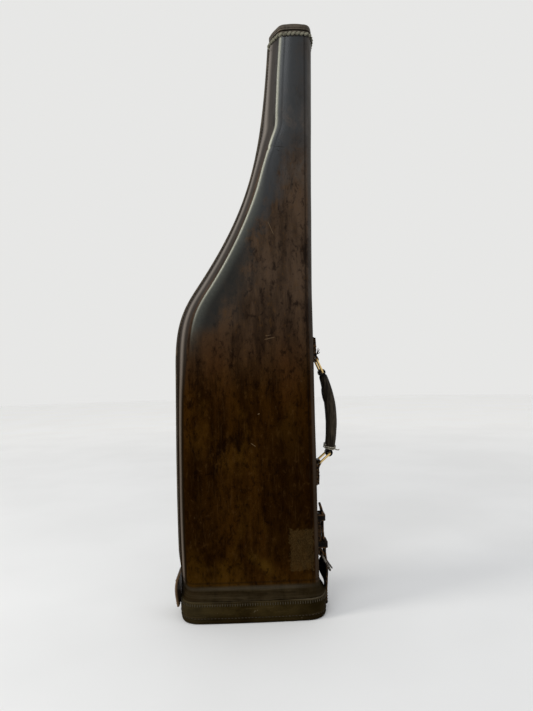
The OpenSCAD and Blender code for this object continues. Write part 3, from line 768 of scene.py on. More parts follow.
def ridge_coats(f, h, wear_and_sheen):
    """Coats along the ridge: grey wear with painted sheen, a pale painted sheen just inside it, and painted
    shade and painted light in two bands on the side wall.
    """
    wear_and_sheen_tone = f.mix(h.z.rise(0.46, 0.60), (0.0080, 0.0084, 0.0072), (0.0225, 0.0252, 0.0275))
    ridge_sheen_reach = 0.019 - 0.012 * h.z.rise(0.54, 0.62)
    glow = (h.from_ridge / ridge_sheen_reach).fall(-0.2, 1.0) * h.past_ridge * h.z.rise(0.34, 0.43)
    side_shade = f.mix(h.upper, (0.0085, 0.0052, 0.0023), (0.0420, 0.0360, 0.0310))
    side_light = f.mix(h.upper, (0.1500, 0.1200, 0.0950), (0.2000, 0.1740, 0.1500))
    # Grey wear with a painted sheen over it, in a band inside the ridge
    return ((wear_and_sheen * (0.92 - 0.7 * h.rust), wear_and_sheen_tone),
            # Painted sheen: pale, just inside the ridge, fading onto the face
            (glow * (0.35 + 0.5 * h.specks), (0.1050, 0.1100, 0.0930)),
            # Painted shade: a darker band over the side wall, past the ridge's hollow
            (h.from_ridge.fall(-0.0130, -0.0060) * 0.88, side_shade),
            # Painted light: a pale band where the side wall bulges out by the seam
            (h.from_ridge.near(-0.0225, 0.0085) * (0.55 + 0.5 * h.streaks), side_light))


def spine_coats(f, h):
    """Coats along the straight side, which leans with the nose: a line of painted shade, and past it a band
    of painted light mottled with stains.
    """
    lean = NOSE_LEAN / (NOSE_Z - LEAN_FROM_Z)
    spine = h.x - (h.z - LEAN_FROM_Z * MM).most(0.0) * lean
    lit_spine_tone = f.layered(
        f.mix(h.upper, (0.0480, 0.0340, 0.0230), (0.0600, 0.0530, 0.0460)),
        (h.stains.rise(0.46, 0.66) * 0.55, (0.0160, 0.0115, 0.0080)))
    # Painted shade: a dark line where the face turns to the spine
    return ((spine.near(0.0795, 0.0022) * 0.6, (0.0050, 0.0028, 0.0015)),
            # Painted light on the rolled spine edge, with real stains mottling it
            (spine.rise(0.0815, 0.0850) * (0.48 + 0.50 * h.streaks), lit_spine_tone))


def mouth_coats(f, h):
    """Coats of the flared mouth: olive, scored level, with a painted highlight along its top, dark at its
    ends and above it.
    """
    scores = f.noise((14, 14, 420), detail=6, roughness=0.7, shift=(4, 4, 1))
    tone = f.layered(
        f.mix(h.blotches.rise(0.38, 0.62), (0.0070, 0.0046, 0.0016), (0.0230, 0.0168, 0.0082)),
        (scores.rise(0.50, 0.62) * 0.55, (0.0420, 0.0320, 0.0180)),
        (scores.fall(0.38, 0.48) * 0.60, (0.0050, 0.0032, 0.0010)),
        # Painted highlight along the top edge of the flare
        (h.z.near(0.0445, 0.0040) * (0.15 + 0.45 * h.streaks), (0.0620, 0.0520, 0.0380)),
        (h.x.rise(0.050, 0.085) * 0.55, (0.0085, 0.0054, 0.0016)),
        (h.x.fall(-0.090, -0.050) * 0.35, (0.0110, 0.0050, 0.0008)))
    return ((h.z.fall(0.0450, 0.0500) * 0.9, tone),
            (h.z.near(0.0515, 0.0022) * 0.5, (0.0060, 0.0036, 0.0018)))


def label_residue(f, h):
    """What the lost label left on the front: an oblong with a rough soft edge, full of curls of paste."""
    rough = (h.specks - 0.5) * 0.012
    across = ((h.x - LABEL_X).size() + rough).fall(LABEL_HALF_W - LABEL_SOFT_EDGE, LABEL_HALF_W)
    upright = ((h.z - LABEL_Z).size() + rough).fall(LABEL_HALF_H - LABEL_SOFT_EDGE, LABEL_HALF_H)
    curls = f.noise((330, 330, 330), detail=3, distortion=3.0, shift=(5, 5, 5)).near(0.5, 0.10)
    return across * upright * (0.15 + 0.85 * curls) * h.front


def panel_leather():
    """Dark hide: the ground under its coats, scrapes and creases; the ridge carries a painted highlight and
    is polished.
    """
    f = Finish("panel_leather", Specular_IOR_Level=0.0, Coat_Roughness=0.24)
    h = hide_pattern(f)
    wear_and_sheen = wear_and_sheen_share(h)
    residue = label_residue(f, h)
    scrapes = scratches(h, SCRAPES)
    creases = scratches(h, CREASES) * h.front
    scuffs = f.noise((150, 150, 90), detail=6, roughness=0.75, shift=(1, 4, 9)).rise(0.62, 0.74)
    colour = f.layered(
        hide_ground(f, h), *ridge_coats(f, h, wear_and_sheen), *spine_coats(f, h), *mouth_coats(f, h),
        (residue * 0.8, (0.0560, 0.0345, 0.0120)),
        ((scrapes * 0.85 + scuffs * 0.14) * h.front, (0.1500, 0.1000, 0.0540)),
        # Painted highlight: a pale cream line along the ridge
        (h.ridge * (0.55 + 0.55 * h.streaks), (0.6200, 0.6000, 0.4600)),
        (creases * 0.8, (0.0070, 0.0058, 0.0040)))
    height = f.pores(900).rise(0.0, 0.30) * 0.30 + h.fibres * 0.4 + h.mottle * 0.9
    height = height - scrapes * 0.9 - creases * 1.2 + residue * 0.6
    polish = 0.10 * h.upper + 0.25 * wear_and_sheen + 0.12 * h.z.rise(0.56, 0.76)
    return f.set(Base_Color=colour, Roughness=0.38 + 0.25 * h.blotches, Coat_Weight=polish.most(h.ridge),
                 Normal=f.relief(height, 0.0004, 0.6))


# The other materials: a mix of two tones by a noise, under coats
def lid_leather():
    """Olive-brown hide of the lid: paler to the left by painted light, darker low down and to the right,
    with a painted highlight on the rubbed rim, scored level.
    """
    f = Finish("lid_leather", Specular_IOR_Level=0.0)
    x, _, z = f.axes()
    clouds = f.noise((26, 26, 44), detail=7, roughness=0.62)
    scores = f.noise((9, 9, 620), detail=4, roughness=0.7)
    chips = f.noise((120, 120, 160), detail=5, roughness=0.7, shift=(2, 2, 7))
    # Pale tone of the worn chips, also used for the painted highlight along the rim
    rubbed = (0.1300, 0.1050, 0.0680)
    colour = f.layered(
        f.mix(clouds.rise(0.34, 0.66), (0.0085, 0.0046, 0.0006), (0.0310, 0.0205, 0.0058)),
        # Painted light: paler towards the left end, where the lid's corner faces the light
        (x.fall(-0.085, -0.030) * 0.35, (0.0420, 0.0330, 0.0160)),
        (x.rise(0.030, 0.085) * 0.60, (0.0070, 0.0040, 0.0005)),
        (z.fall(0.004, 0.016) * 0.5, (0.0080, 0.0046, 0.0008)),
        (scores.rise(0.60, 0.68) * 0.5, (0.0850, 0.0620, 0.0300)),
        (chips.rise(0.64, 0.74) * 0.7, rubbed),
        # The rim: partly rubbed wear, partly a painted highlight that grows to the right
        (f.mark() * (0.10 + 0.35 * x.rise(0.04, 0.08)), rubbed))
    height = f.pores(800).rise(0.0, 0.3) * 0.5 + clouds * 0.8 - scores.rise(0.58, 0.68) * 0.6
    return f.set(Base_Color=colour, Roughness=0.42 + 0.2 * clouds, Coat_Weight=clouds * 0.06,
                 Normal=f.relief(height, 0.0005, 0.6))


def edge_leather():
    """Brown cut edge: layers along the edge, rubbed pale in places, painted shade where it is marked."""
    f = Finish("edge_leather", Specular_IOR_Level=0.2)
    layers = f.noise((300, 900, 40), detail=4, roughness=0.7)
    rubbed = f.noise((60, 60, 60), detail=5)
    colour = f.layered(
        f.mix(layers.rise(0.3, 0.7), (0.026, 0.0190, 0.0120), (0.078, 0.0610, 0.0410)),
        (rubbed.rise(0.52, 0.7) * 0.6, (0.125, 0.0900, 0.0560)),
        # Painted shade in the marked places: the nose cap's groove, foot and score
        (f.mark() * 0.9, (0.006, 0.0050, 0.0040)))
    return f.set(Base_Color=colour, Roughness=0.42 + 0.25 * rubbed, Normal=f.relief(layers, 0.0005, 0.7))


def strap_leather():
    """Almost black harness leather whose cut edges show brown."""
    f = Finish("strap_leather", Specular_IOR_Level=0.06)
    creases = f.noise((120, 120, 260), detail=6, roughness=0.65)
    colour = f.layered(
        f.mix(creases.rise(0.4, 0.72), (0.0022, 0.0016, 0.0012), (0.0085, 0.0056, 0.0036)),
        (f.mark() * creases.rise(0.40, 0.62), (0.090, 0.0480, 0.0200)))
    height = creases * 0.8 + f.pores(1000).rise(0.0, 0.3) * 0.5
    return f.set(Base_Color=colour, Roughness=0.34 + 0.25 * creases, Normal=f.relief(height, 0.0005, 0.7))


def hinge_leather():
    """Faded purple-brown leather, cracked across where the hinge bends, with paler cut edges."""
    f = Finish("hinge_leather", Specular_IOR_Level=0.15)
    cracks = f.noise((60, 60, 520), detail=6, roughness=0.7)
    fade = f.noise((40, 40, 40), detail=4)
    colour = f.layered(
        f.mix(fade.rise(0.35, 0.65), (0.050, 0.0290, 0.0150), (0.105, 0.0650, 0.0340)),
        (cracks.fall(0.34, 0.44) * 0.8, (0.012, 0.0070, 0.0050)),
        (f.mark() * (0.3 + 0.5 * fade), (0.130, 0.0780, 0.0360)))
    return f.set(Base_Color=colour, Roughness=0.5 + 0.2 * fade, Normal=f.relief(cracks, 0.0008, 0.8))


def grip_leather():
    """Worn grip: grey-brown with fibres that run its length, and painted shade in its hollows."""
    f = Finish("grip_leather", Specular_IOR_Level=0.05)
    fibres = f.noise((420, 420, 34), detail=6, roughness=0.7)
    patches = f.noise((70, 70, 45), detail=5)
    colour = f.layered(
        f.mix(fibres.rise(0.36, 0.64), (0.0046, 0.0034, 0.0022), (0.034, 0.0262, 0.0172)),
        (patches.rise(0.52, 0.70) * 0.5, (0.075, 0.0580, 0.0370)),
        # Painted shade where the mesh is marked: the grip's ends, its seam and the flap
        (f.mark(), (0.0045, 0.0034, 0.0028)))
    return f.set(Base_Color=colour, Roughness=0.45 + 0.2 * fibres, Normal=f.relief(fibres, 0.0007, 0.9))


def waxed_thread(name, dark, pale):
    """Linen thread: a fine twist across each stitch, grime in patches, painted shade where it is marked."""
    f = Finish(name, Specular_IOR_Level=0.08)
    twist = f.noise((1500, 1500, 1500), detail=3)
    grime = f.noise((90, 90, 90), detail=4)
    colour = f.layered(
        f.mix(twist.rise(0.35, 0.65), dark, pale),
        (grime.rise(0.5, 0.7) * 0.6, (0.020, 0.0170, 0.0130)),
        # Painted shade where the mesh is marked: the ends of the whipping's turns
        (f.mark() * 0.9, (0.010, 0.0085, 0.0060)))
    return f.set(Base_Color=colour, Roughness=0.62 + 0.2 * twist, Normal=f.relief(twist, 0.0003, 0.8))


def red_baize():
    """Wool baize: short felted fibres, faded where it is rubbed."""
    f = Finish("red_baize", Specular_IOR_Level=0.2, Sheen_Weight=0.35, Sheen_Roughness=0.5)
    wool = f.noise((1400, 1400, 1400), detail=5, roughness=0.75)
    fade = f.noise((26, 26, 18), detail=4)
    colour = f.layered(
        f.mix(wool.rise(0.3, 0.7), (0.105, 0.0120, 0.0120), (0.260, 0.0400, 0.0340)),
        (fade.rise(0.5, 0.7) * 0.45, (0.300, 0.0900, 0.0650)))
    return f.set(Base_Color=colour, Roughness=0.85 + 0.1 * wool, Normal=f.relief(wool, 0.0007, 0.9))


def pine_board():
    """Plain board with grain that runs its length."""
    f = Finish("pine_board", Specular_IOR_Level=0.35)
    rings = f.noise((60, 150, 5), detail=5, roughness=0.6, distortion=0.4)
    colour = f.mix(rings.rise(0.35, 0.65), (0.300, 0.1750, 0.0800), (0.500, 0.3300, 0.1700))
    return f.set(Base_Color=colour, Roughness=0.55 + 0.2 * rings, Normal=f.relief(rings, 0.0004, 0.6))


def old_brass():
    """Brass wire: rubbed bright, with brown tarnish in patches, rougher and less metallic."""
    f = Finish("old_brass")
    tarnish = f.noise((170, 170, 170), detail=5, roughness=0.6)
    colour = f.mix(tarnish.rise(0.48, 0.68), (0.640, 0.4550, 0.1900), (0.160, 0.0950, 0.0380))
    return f.set(Base_Color=colour, Metallic=tarnish.fall(0.55, 0.80) * 0.4 + 0.6,
                 Roughness=0.24 + 0.35 * tarnish, Normal=f.relief(tarnish, 0.0003, 0.4))


def worn_steel():
    """Steel gone dark, with brown spots, rougher and less metallic, and a little shine left."""
    f = Finish("worn_steel")
    spots = f.noise((260, 260, 260), detail=5, roughness=0.65)
    colour = f.mix(spots.rise(0.42, 0.58), (0.150, 0.1340, 0.1120), (0.030, 0.0220, 0.0160))
    return f.set(Base_Color=colour, Metallic=spots.fall(0.55, 0.80) * 0.3 + 0.7,
                 Roughness=0.22 + 0.35 * spots, Normal=f.relief(spots, 0.0003, 0.4))


# The photograph's camera, placed first: angles in degrees, place in metres, focal length in pixels
CAMERA_TURN, CAMERA_TIP, CAMERA_ROLL = 2.0, 2.13, -1.3
CAMERA_PLACE = (-0.0007, -0.7557, 0.3243)
FOCAL_PIXELS = 534
FRAME_PIXELS = 711
SENSOR_MM = 36


def add_camera():
    """Camera that stands before the front panel: turned, then tipped, then rolled about its own axis."""
    turn, tip, roll = (math.radians(angle) for angle in (CAMERA_TURN, CAMERA_TIP, CAMERA_ROLL))
    ahead = Vector((math.sin(turn) * math.cos(tip), math.cos(turn) * math.cos(tip), math.sin(tip)))
    level = Vector((math.cos(turn), -math.sin(turn), 0))
    square = level.cross(ahead)
    right = level * math.cos(roll) + square * math.sin(roll)
    up = square * math.cos(roll) - level * math.sin(roll)
    data = bpy.data.cameras.new("camera")
    data.sensor_width = SENSOR_MM
    data.lens = SENSOR_MM * FOCAL_PIXELS / FRAME_PIXELS
    camera = bpy.data.objects.new("camera", data)
    bpy.context.scene.collection.objects.link(camera)
    place = Matrix((right, up, -ahead)).transposed().to_4x4()
    place.translation = CAMERA_PLACE
    camera.matrix_world = place
    bpy.context.scene.camera = camera


add_camera()

PANEL = panel_leather()
LID = lid_leather()
EDGE = edge_leather()
STRAP = strap_leather()
HINGE = hinge_leather()
GRIP = grip_leather()
WHIP_THREAD = waxed_thread("whip_thread", (0.090, 0.0840, 0.0620), (0.280, 0.2650, 0.1950))
RIM_THREAD = waxed_thread("rim_thread", (0.020, 0.0160, 0.0100), (0.075, 0.0610, 0.0390))
SEAM_THREAD = waxed_thread("seam_thread", (0.014, 0.0105, 0.0070), (0.048, 0.0370, 0.0250))
STRING = waxed_thread("pale_string", (0.110, 0.0950, 0.0700), (0.430, 0.3900, 0.3050))
BAIZE = red_baize()
BOARD = pine_board()
BRASS = old_brass()
STEEL = worn_steel()


def dressed(piece, body, slot, *nodes):
    """Puts a finished piece on its body, in the place of its nodes; the material slot is not used."""
    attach(piece, body)
    if nodes:
        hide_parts(*nodes)
    return piece


# Body shells
FINE = np.concatenate([flare_stations(FLARE_ROWS), body_stations(*BODY_ROWS)])


def unevenness(grid):
    """Slow hollows and swellings of hand-moulded hide, a sum of crossing waves."""
    x, z = grid[..., 0], grid[..., 2]
    broad = np.sin(x / 29 + z / 61) * np.sin(z / 47 - x / 71)
    small = np.sin(z / 15 + x / 21) * np.sin(x / 13 - z / 33)
    return 0.28 * broad + 0.07 * small


def ridge_relief(from_ridge, z):
    """Sum of bells across the ridge, a bead, a hollow and a swell, that fades low down, less one nick."""
    bells = (RIDGE_BEAD, RIDGE_HOLLOW, RIDGE_SWELL)
    relief = sum(height * bump_at(from_ridge, centre, spread) for height, centre, spread in bells)
    nick = NICK_DEEP * bump_at(from_ridge, 0, 3.5) * bump_at(z, NICK_Z - 7, 1.6)
    return relief * (0.3 + 0.7 * climb(z, RELIEF_FROM_Z, RELIEF_RUN)) - nick


def moulded_half(side):
    """One hide: the outside, raised by the ridge's relief and the unevenness, and the plain inside."""
    seam = WELT_T / 2
    z = FINE[:, HEIGHT, None]
    plain = lifted(half_ring(FINE, seam), FINE[:, HEIGHT])
    far = np.cumsum(np.linalg.norm(np.diff(plain, axis=1, prepend=plain[:, :1]), axis=2), axis=1)
    from_ridge = far - far[:, RIDGE_COLUMN, None]
    on_body = climb(z, FLARE_Z, 60) * climb(z, NOSE_Z, -12)
    off_edges = climb(far, 0, 14) * climb(far, far[:, -1:], -14)
    outside = raised(plain, on_body * (ridge_relief(from_ridge, z) + unevenness(plain) * off_edges))
    inside = lifted(half_ring(narrowed(FINE, WALL), seam), FINE[:, HEIGHT])
    # Mark of the painted highlight along the ridge, stronger by the nick
    ridge_highlight = bump_at(from_ridge, 0.3, 1.4) * climb(z, RIDGE_HIGHLIGHT_FROM_Z, RIDGE_HIGHLIGHT_RUN)
    ridge_highlight = ridge_highlight * (0.62 + 0.38 * bump_at(z, NICK_Z, 15))
    flip = np.array([1, side, 1])
    return Skin().wall(outside * flip, inside * flip, closed=False, mark=ridge_highlight, from_ridge=from_ridge * MM)


for node, side in (("front_panel", 1), ("back_panel", -1)):
    dressed(moulded_half(side).made(node + "_hide", PANEL), "shell", "panel_leather", node)


# Welt in the seam, and the stitches beside it
def welt_strip():
    """Strip in the seam: its outer edge is half a round, and stands proud from the hinge up."""
    s = np.concatenate([flare_stations(8), body_stations(*BODY_ROWS, top=0.9925)])
    proud = WELT_PROUD * climb(s[:, HEIGHT], HINGE_TOP_Z, 30)
    turn = run(-np.pi / 2, np.pi / 2, 9)
    out_x = s[:, LEFT] - proud * s[:, STRETCH]
    round_x = np.minimum(WELT_T / 2, proud)[:, None] * (1 - np.cos(turn))
    edge = points(out_x[:, None] + round_x, WELT_T / 2 * np.sin(turn))
    inner_x = s[:, LEFT] + WALL * s[:, STRETCH]
    inner = points(inner_x[:, None], [WELT_T / 2, -WELT_T / 2])
    return lifted(np.concatenate([edge, inner], axis=1), s[:, HEIGHT])


dressed(Skin().tube(welt_strip()).made("edge_welt_strip", EDGE), "shell", "edge_leather", "edge_welt")


def seam_line(side):
    """Stitches down the side wall, a little in from the seam: places, and the ways they lie and face."""
    s = body_stations(*BODY_ROWS, top=0.985)
    s = s[s[:, HEIGHT] > HINGE_TOP_Z + 14]
    wall = lifted(half_ring(s, WELT_T / 2), s[:, HEIGHT])
    line = wall[:, 0] + unit(wall[:, 2] - wall[:, 0]) * SEAM_IN - X_WAY * SEAM_STAND
    at, along = evenly(line, SEAM_PITCH)
    out = unit(np.cross(np.cross(along, [-1.0, -0.3, 0.0]), along))
    flip = np.array([1, side, 1])
    return at * flip, along * flip, out * flip


seam_rows = Skin().sew(*seam_line(1), *SEAM_STITCH).sew(*seam_line(-1), *SEAM_STITCH)
dressed(seam_rows.made("seam_stitches", SEAM_THREAD), "shell", "thread")


# Nose: domed cap and whipped edge
NOSE = stations_on(NECK_SIDE, [1.0])


def nose_rings(inset, height):
    """Closed rings of the nose's outline, each drawn in by its inset and set at its height."""
    s = narrowed(np.repeat(NOSE, len(inset), axis=0), np.asarray(inset, float))
    s[:, HEIGHT] = height
    return whole_ring(s)


def nose_cap():
    """Dome: a groove above the whipping, a straight band with a score, then a quarter round and a crown."""
    turn = quarter_turn(10)
    foot_in, groove_in, score_in, round_in = 1.2, 1.9, 0.5, 4
    band_top = 0.72 * CAP_H
    round_top = CAP_H - 0.3
    band_from = WHIP_HALF_H + 1.2
    foot = [foot_in, 0.1]
    band = [0.0, groove_in, groove_in, 0.0, 0.0, score_in, 0.0, 0.0]
    band_rise = band_from + np.array([0, 0.5, 2.0, 2.5, 4.4, 4.8, 5.2, 6.6])
    inset = np.concatenate([foot, band, round_in * (1 - np.cos(turn)), [8, 12]])
    rise = np.concatenate([[0.1, 0.1], band_rise, band_top + (round_top - band_top) * np.sin(turn),
                           [CAP_H - 0.1, CAP_H]])
    # Painted shade: marks in the groove, at the foot by the whipping, and fainter in the score
    dark = np.isin(inset, (groove_in, foot_in)) + 0.6 * (inset == score_in)
    return Skin().tube(nose_rings(inset, NOSE_Z + rise), dark[:, None])


dressed(nose_cap().made("nose_cap_leather", EDGE), "shell", "edge_leather", "nose_cap")


def whip_turns():
    """Fat slanted turns of thread over the edge: each climbs half a round and steps along the rim."""
    ring = nose_rings([-SEWN_GAP - 0.2], [NOSE_Z])[0]
    at, along = evenly(ring, WHIP_PITCH, closed=True)
    out = np.cross(along, Z_WAY)
    t = run(0, 1, 13)
    swing = np.pi * (t - 0.5)[:, None]
    lift = (WHIP_HALF_H - 0.9) * np.sin(swing) - 0.5
    stand = 0.1 + (WHIP_PROUD - WHIP_R) * np.cos(swing)
    step = WHIP_SLANT * np.sin(swing)
    middle = at[:, None] + along[:, None] * step + out[:, None] * stand + Z_WAY * lift
    way = unit(np.gradient(middle, axis=1))
    side = unit(np.cross(way, out[:, None]))
    third = np.cross(side, way)
    thick = WHIP_R * np.sin(np.pi * (0.04 + 0.92 * t))[:, None, None] ** 0.5
    turn = full_turn(8)[:, None]
    return middle[:, :, None] + thick * (np.cos(turn) * third[:, :, None] + np.sin(turn) * side[:, :, None])


def thread_tail():
    """Loose end of the whipping thread that hangs by the seam: round wire along a cubic."""
    path = curve([[NOSE_X - 2.2, -6.0, NOSE_Z - 2], [NOSE_X - 3.4, -7.0, NOSE_Z - 7],
                  [NOSE_X - 1.4, -11.0, NOSE_Z - 9], [NOSE_X + 1.2, -13.0, NOSE_Z - 13]], 16)
    return wire_along(path, -X_WAY, WHIP_TAIL_R, sides=8)


turns = whip_turns()
# Painted shade at both ends of each whipping turn, where it meets the rim
turn_end_shade = run(-1, 1, turns.shape[1]) ** 2
whip = Skin().add(turns, wrap_cols=True, mark=turn_end_shade[:, None]).tube(thread_tail())
dressed(whip.made("nose_whip_turns", WHIP_THREAD), "shell", "thread", "nose_whipping")


# Lid: wall, sole and their stitches
def lid_rings(inset, height):
    """Closed rings of the lid's outline, each drawn in by its inset and set at its height."""
    return whole_ring(narrowed(lid_stations(height), np.asarray(inset, float)))


def lid_wall():
    """Wall whose outside bellies by half a wave and whose cut rim is rounded and a little wavy."""
    belly, rim_round, rows = 0.45, 1.2, 16
    height = np.concatenate([run(SOLE_T, LID_H - rim_round, rows), [LID_H - 0.5, LID_H - 0.12, LID_H]])
    inset = np.concatenate([-belly * np.sin(run(0, np.pi, rows)), [0.1, 0.5, 1.3]])
    outside = lid_rings(inset, height)
    inside = lid_rings(LID_WALL_T - 0.3 * bump_at(height, LID_H, 1), height)
    x = outside[..., 0]
    rim = bump_at(height, LID_H, 5)[:, None]
    outside[..., 2] -= rim * 0.35 * (1 + np.sin(x / 14) * np.sin(x / 37 + 1))
    inside[..., 2] -= 0.3 * rim
    # The mark along the top of the rim carries the lid's painted rim highlight
    return Skin().wall(outside, inside, mark=bump_at(height, LID_H, 1.6)[:, None])


dressed(lid_wall().made("lid_wall_leather", LID), "lid", "panel_leather", "lid_wall")


def lid_sole():
    """Thick plate: flat below, a quarter round at the lower edge, a straight edge, flat above."""
    turn = quarter_turn(7)
    bevel = 2.6
    inset = np.concatenate([[34, 12], bevel * (1 - np.sin(turn)), [0.0, 0.35, 12, 34]])
    height = np.concatenate([[0, 0], bevel * (1 - np.cos(turn)), [SOLE_T - 0.5, SOLE_T, SOLE_T, SOLE_T]])
    return lid_rings(inset, height)


dressed(Skin().tube(lid_sole()).made("lid_sole_plate", LID), "lid", "panel_leather", "lid_sole")


def ring_line(ring, pitch, upright):
    """Places of stitches round a closed ring, with the ways they lie, upright or along it, and face."""
    at, along = evenly(ring, pitch, closed=True)
    out = np.cross(along, Z_WAY)
    return at + out * 0.05, Z_WAY if upright else along, out


RIM_ROW_DOWN, RIM_ROW_OUT = 4.4, 0.25
SOLE_ROW_UP = 2.2
rim_ring = lid_rings([-RIM_ROW_OUT], [LID_H - RIM_ROW_DOWN])[0]
sole_ring = lid_rings([0.0], [SOLE_T + SOLE_ROW_UP])[0]
rim_rows = Skin().sew(*ring_line(rim_ring, RIM_PITCH, True), *RIM_STITCH)
dressed(rim_rows.made("lid_rim_stitches", RIM_THREAD), "lid", "thread")
sole_rows = Skin().sew(*ring_line(sole_ring, SOLE_PITCH, False), *SOLE_STITCH)
dressed(sole_rows.made("lid_sole_stitches", SEAM_THREAD), "lid", "thread")


# Leather hinge of the lid
def hinge_line():
    """Cubic that leaves the body, bows out past the joint and comes back to the lid."""
    top = np.array([-LID_W / 2 - HINGE_T / 2 - 2 * SEAT_GAP, HINGE_TOP_Z])
    low = np.array([-LID_W / 2 - HINGE_T / 2 - SEAT_GAP, HINGE_LOW_Z])
    below_top = top - [HINGE_BOW, 0.2 * HINGE_TOP_Z]
    above_low = low - [HINGE_BOW, -0.6 * LID_H]
    return curve([top, below_top, above_low, low], 44)


hinge_path = hinge_line()
hinge = Skin().tube(strip(hinge_path, HINGE_W, HINGE_T, cols=15), strip_edge_mark(15))
hinge_piece = hinge.made("lid_hinge_leather", HINGE)
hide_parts("lid_hinge")
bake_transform(hinge_piece)


HINGE_ROW_IN = 4


def hinge_row(z, body, name):
    """Row of ten stitches across the hinge's outer face, at the point of its path nearest to a height."""
    x, z = hinge_path[np.argmin(np.abs(hinge_path[:, 1] - z))]
    end_y = HINGE_W / 2 - HINGE_ROW_IN
    at = points(x - HINGE_T / 2, run(-end_y, end_y, 10), z)
    row = Skin().sew(at, Y_WAY, -X_WAY, *HINGE_STITCH)
    dressed(row.made(name, SEAM_THREAD), body, "thread")


hinge_row(HINGE_TOP_Z - HINGE_ROW_IN, "shell", "hinge_stitches_upper")
hinge_row(HINGE_LOW_Z + 3, "lid", "hinge_stitches_lower")


# Places of the handle and the buckle, worked out as in the part's source
def spot(x, z):
    """A place or a way in the plane of the handle, as x and z."""
    return np.array([x, z])


def leaning(angle):
    """Way down that leans out by an angle: its sine outwards, its cosine down."""
    return spot(math.sin(angle), -math.cos(angle))


def off_bar(bar, way, far, y):
    """Points at distances from a bar along a way, and at y across."""
    return points(bar[0] + far * way[0], y, bar[1] + far * way[1])


bar_upper = spot(BAR_X, HANDLE_TOP_Z)
bar_lower = spot(BAR_X, HANDLE_TOP_Z - GRIP_LEN - HANDLE_SPARE)
upper_way = leaning(HANG_ANGLE)
eye_upper = bar_upper + LOOP_LEN * upper_way
reach = eye_upper - bar_lower
reach_len = np.linalg.norm(reach)
reach_dir = reach / reach_len
eye_along = (LOOP_LEN**2 - GRIP_LEN**2 + reach_len**2) / (2 * reach_len)
eye_aside = math.sqrt(LOOP_LEN**2 - eye_along**2)
eye_lower = bar_lower + eye_along * reach_dir + eye_aside * spot(reach_dir[1], -reach_dir[0])
lower_way = (eye_lower - bar_lower) / LOOP_LEN
grip_dir = (eye_upper - eye_lower) / GRIP_LEN
cover_rise = GRIP_RISE + GRIP_COVER_BOW
arch_r = GRIP_LEN**2 / (8 * cover_rise) + cover_rise / 2
arch_centre = (eye_upper + eye_lower) / 2 - (arch_r - cover_rise) * spot(grip_dir[1], -grip_dir[0])
buckle_bar = spot(BAR_X, BUCKLE_Z)
buckle_way = leaning(BUCKLE_TILT)
free_bar = buckle_bar + BUCKLE_LEN * buckle_way


def arch_angle(place):
    """Angle of a place as seen from the centre of the grip's arch."""
    x, z = place - arch_centre
    return math.atan2(z, x)


arch_from = arch_angle(eye_lower)
arch_to = arch_angle(eye_upper)


# Wire loops of the handle and the buckle
def wire_rectangle(bar, way, length, leather_w):
    """Closed wire: quarter rounds, each a right angle on, at the corners of a rectangle on the bar."""
    half_w = leather_w / 2 + WIRE_ROOM + WIRE_R
    bend = WIRE_ROOM + WIRE_R - SEWN_GAP
    middles = ((half_w - bend, length - bend), (bend - half_w, length - bend),
               (bend - half_w, bend), (half_w - bend, bend))
    corners = []
    for k, middle in enumerate(middles):
        turn = quarter_turn(9) + k * np.pi / 2
        corners.append(bend * points(np.cos(turn), np.sin(turn)) + middle)
    y, far = np.concatenate(corners).T
    across = np.array([way[1], 0.0, -way[0]])
    return wire_along(off_bar(bar, way, far, y), across, WIRE_R, closed=True)


wires = (("handle_loop_upper", bar_upper, upper_way, LOOP_LEN, HANDLE_CHAPE_W, BRASS, "upper_loop", "brass"),
         ("handle_loop_lower", bar_lower, lower_way, LOOP_LEN, HANDLE_CHAPE_W, BRASS, "lower_loop", "brass"),
         ("buckle_frame", buckle_bar, buckle_way, BUCKLE_LEN, STRAP_W, STEEL, "buckle", "steel"))
for node, bar, way, length, leather_w, finish, body, slot in wires:
    wire = Skin().ring(wire_rectangle(bar, way, length, leather_w))
    dressed(wire.made(node + "_wire", finish), body, slot, node)


def eye_ring(centre, inner_r, outer_r, width):
    """Rolled eye: a rounded oblong section, sine and cosine to the power 0.4, spun about a line along Y."""
    turn = full_turn(24)
    cos, sin = np.cos(turn), np.sin(turn)
    radius = (inner_r + outer_r) / 2 + (outer_r - inner_r) / 2 * np.sign(cos) * np.abs(cos) ** 0.4
    y = width / 2 * np.sign(sin) * np.abs(sin) ** 0.4
    spin = full_turn(40)[:, None]
    return points(centre[0] + radius * np.cos(spin), y, centre[1] + radius * np.sin(spin))


def buckle_tongue():
    """Pin that hooks round the bar and tapers to a rounded point on the free bar."""
    lift = math.asin((WIRE_R + TONGUE_R + 0.1) / BUCKLE_LEN)
    t = run(0.09, 1, 24)
    path = off_bar(buckle_bar, leaning(BUCKLE_TILT + lift), t * (BUCKLE_LEN + 4.2), 0.0)
    radius = TONGUE_R * (1.05 - 0.25 * t) * np.sqrt(np.clip((1.005 - t) / 0.04, 0, 1))
    pin = Skin().tube(wire_along(path, Y_WAY, radius, sides=12))
    hole_r = WIRE_R + PIVOT_CLEAR
    return pin.ring(eye_ring(buckle_bar, hole_r, hole_r + 1.2, TONGUE_EYE_W))


dressed(buckle_tongue().made("buckle_tongue_pin", STEEL), "tongue", "steel", "buckle_tongue")


# Chapes: strips folded round a bar and sewn back on themselves, and the rivets of one
CHAPE_RING_R = FOLD_R - CHAPE_T / 2
CHAPE_BACK_X = SPINE_X + SEAT_GAP
CHAPE_FACE_X = CHAPE_BACK_X + 2 * CHAPE_T
CHAPE_SKIVE = 10
CHAPE_ROW_IN = 2.6
RIVET_SHANK_R = 1.3
RIVET_RISES = (CHAPE_T * 7, CHAPE_T * 7 + 16)


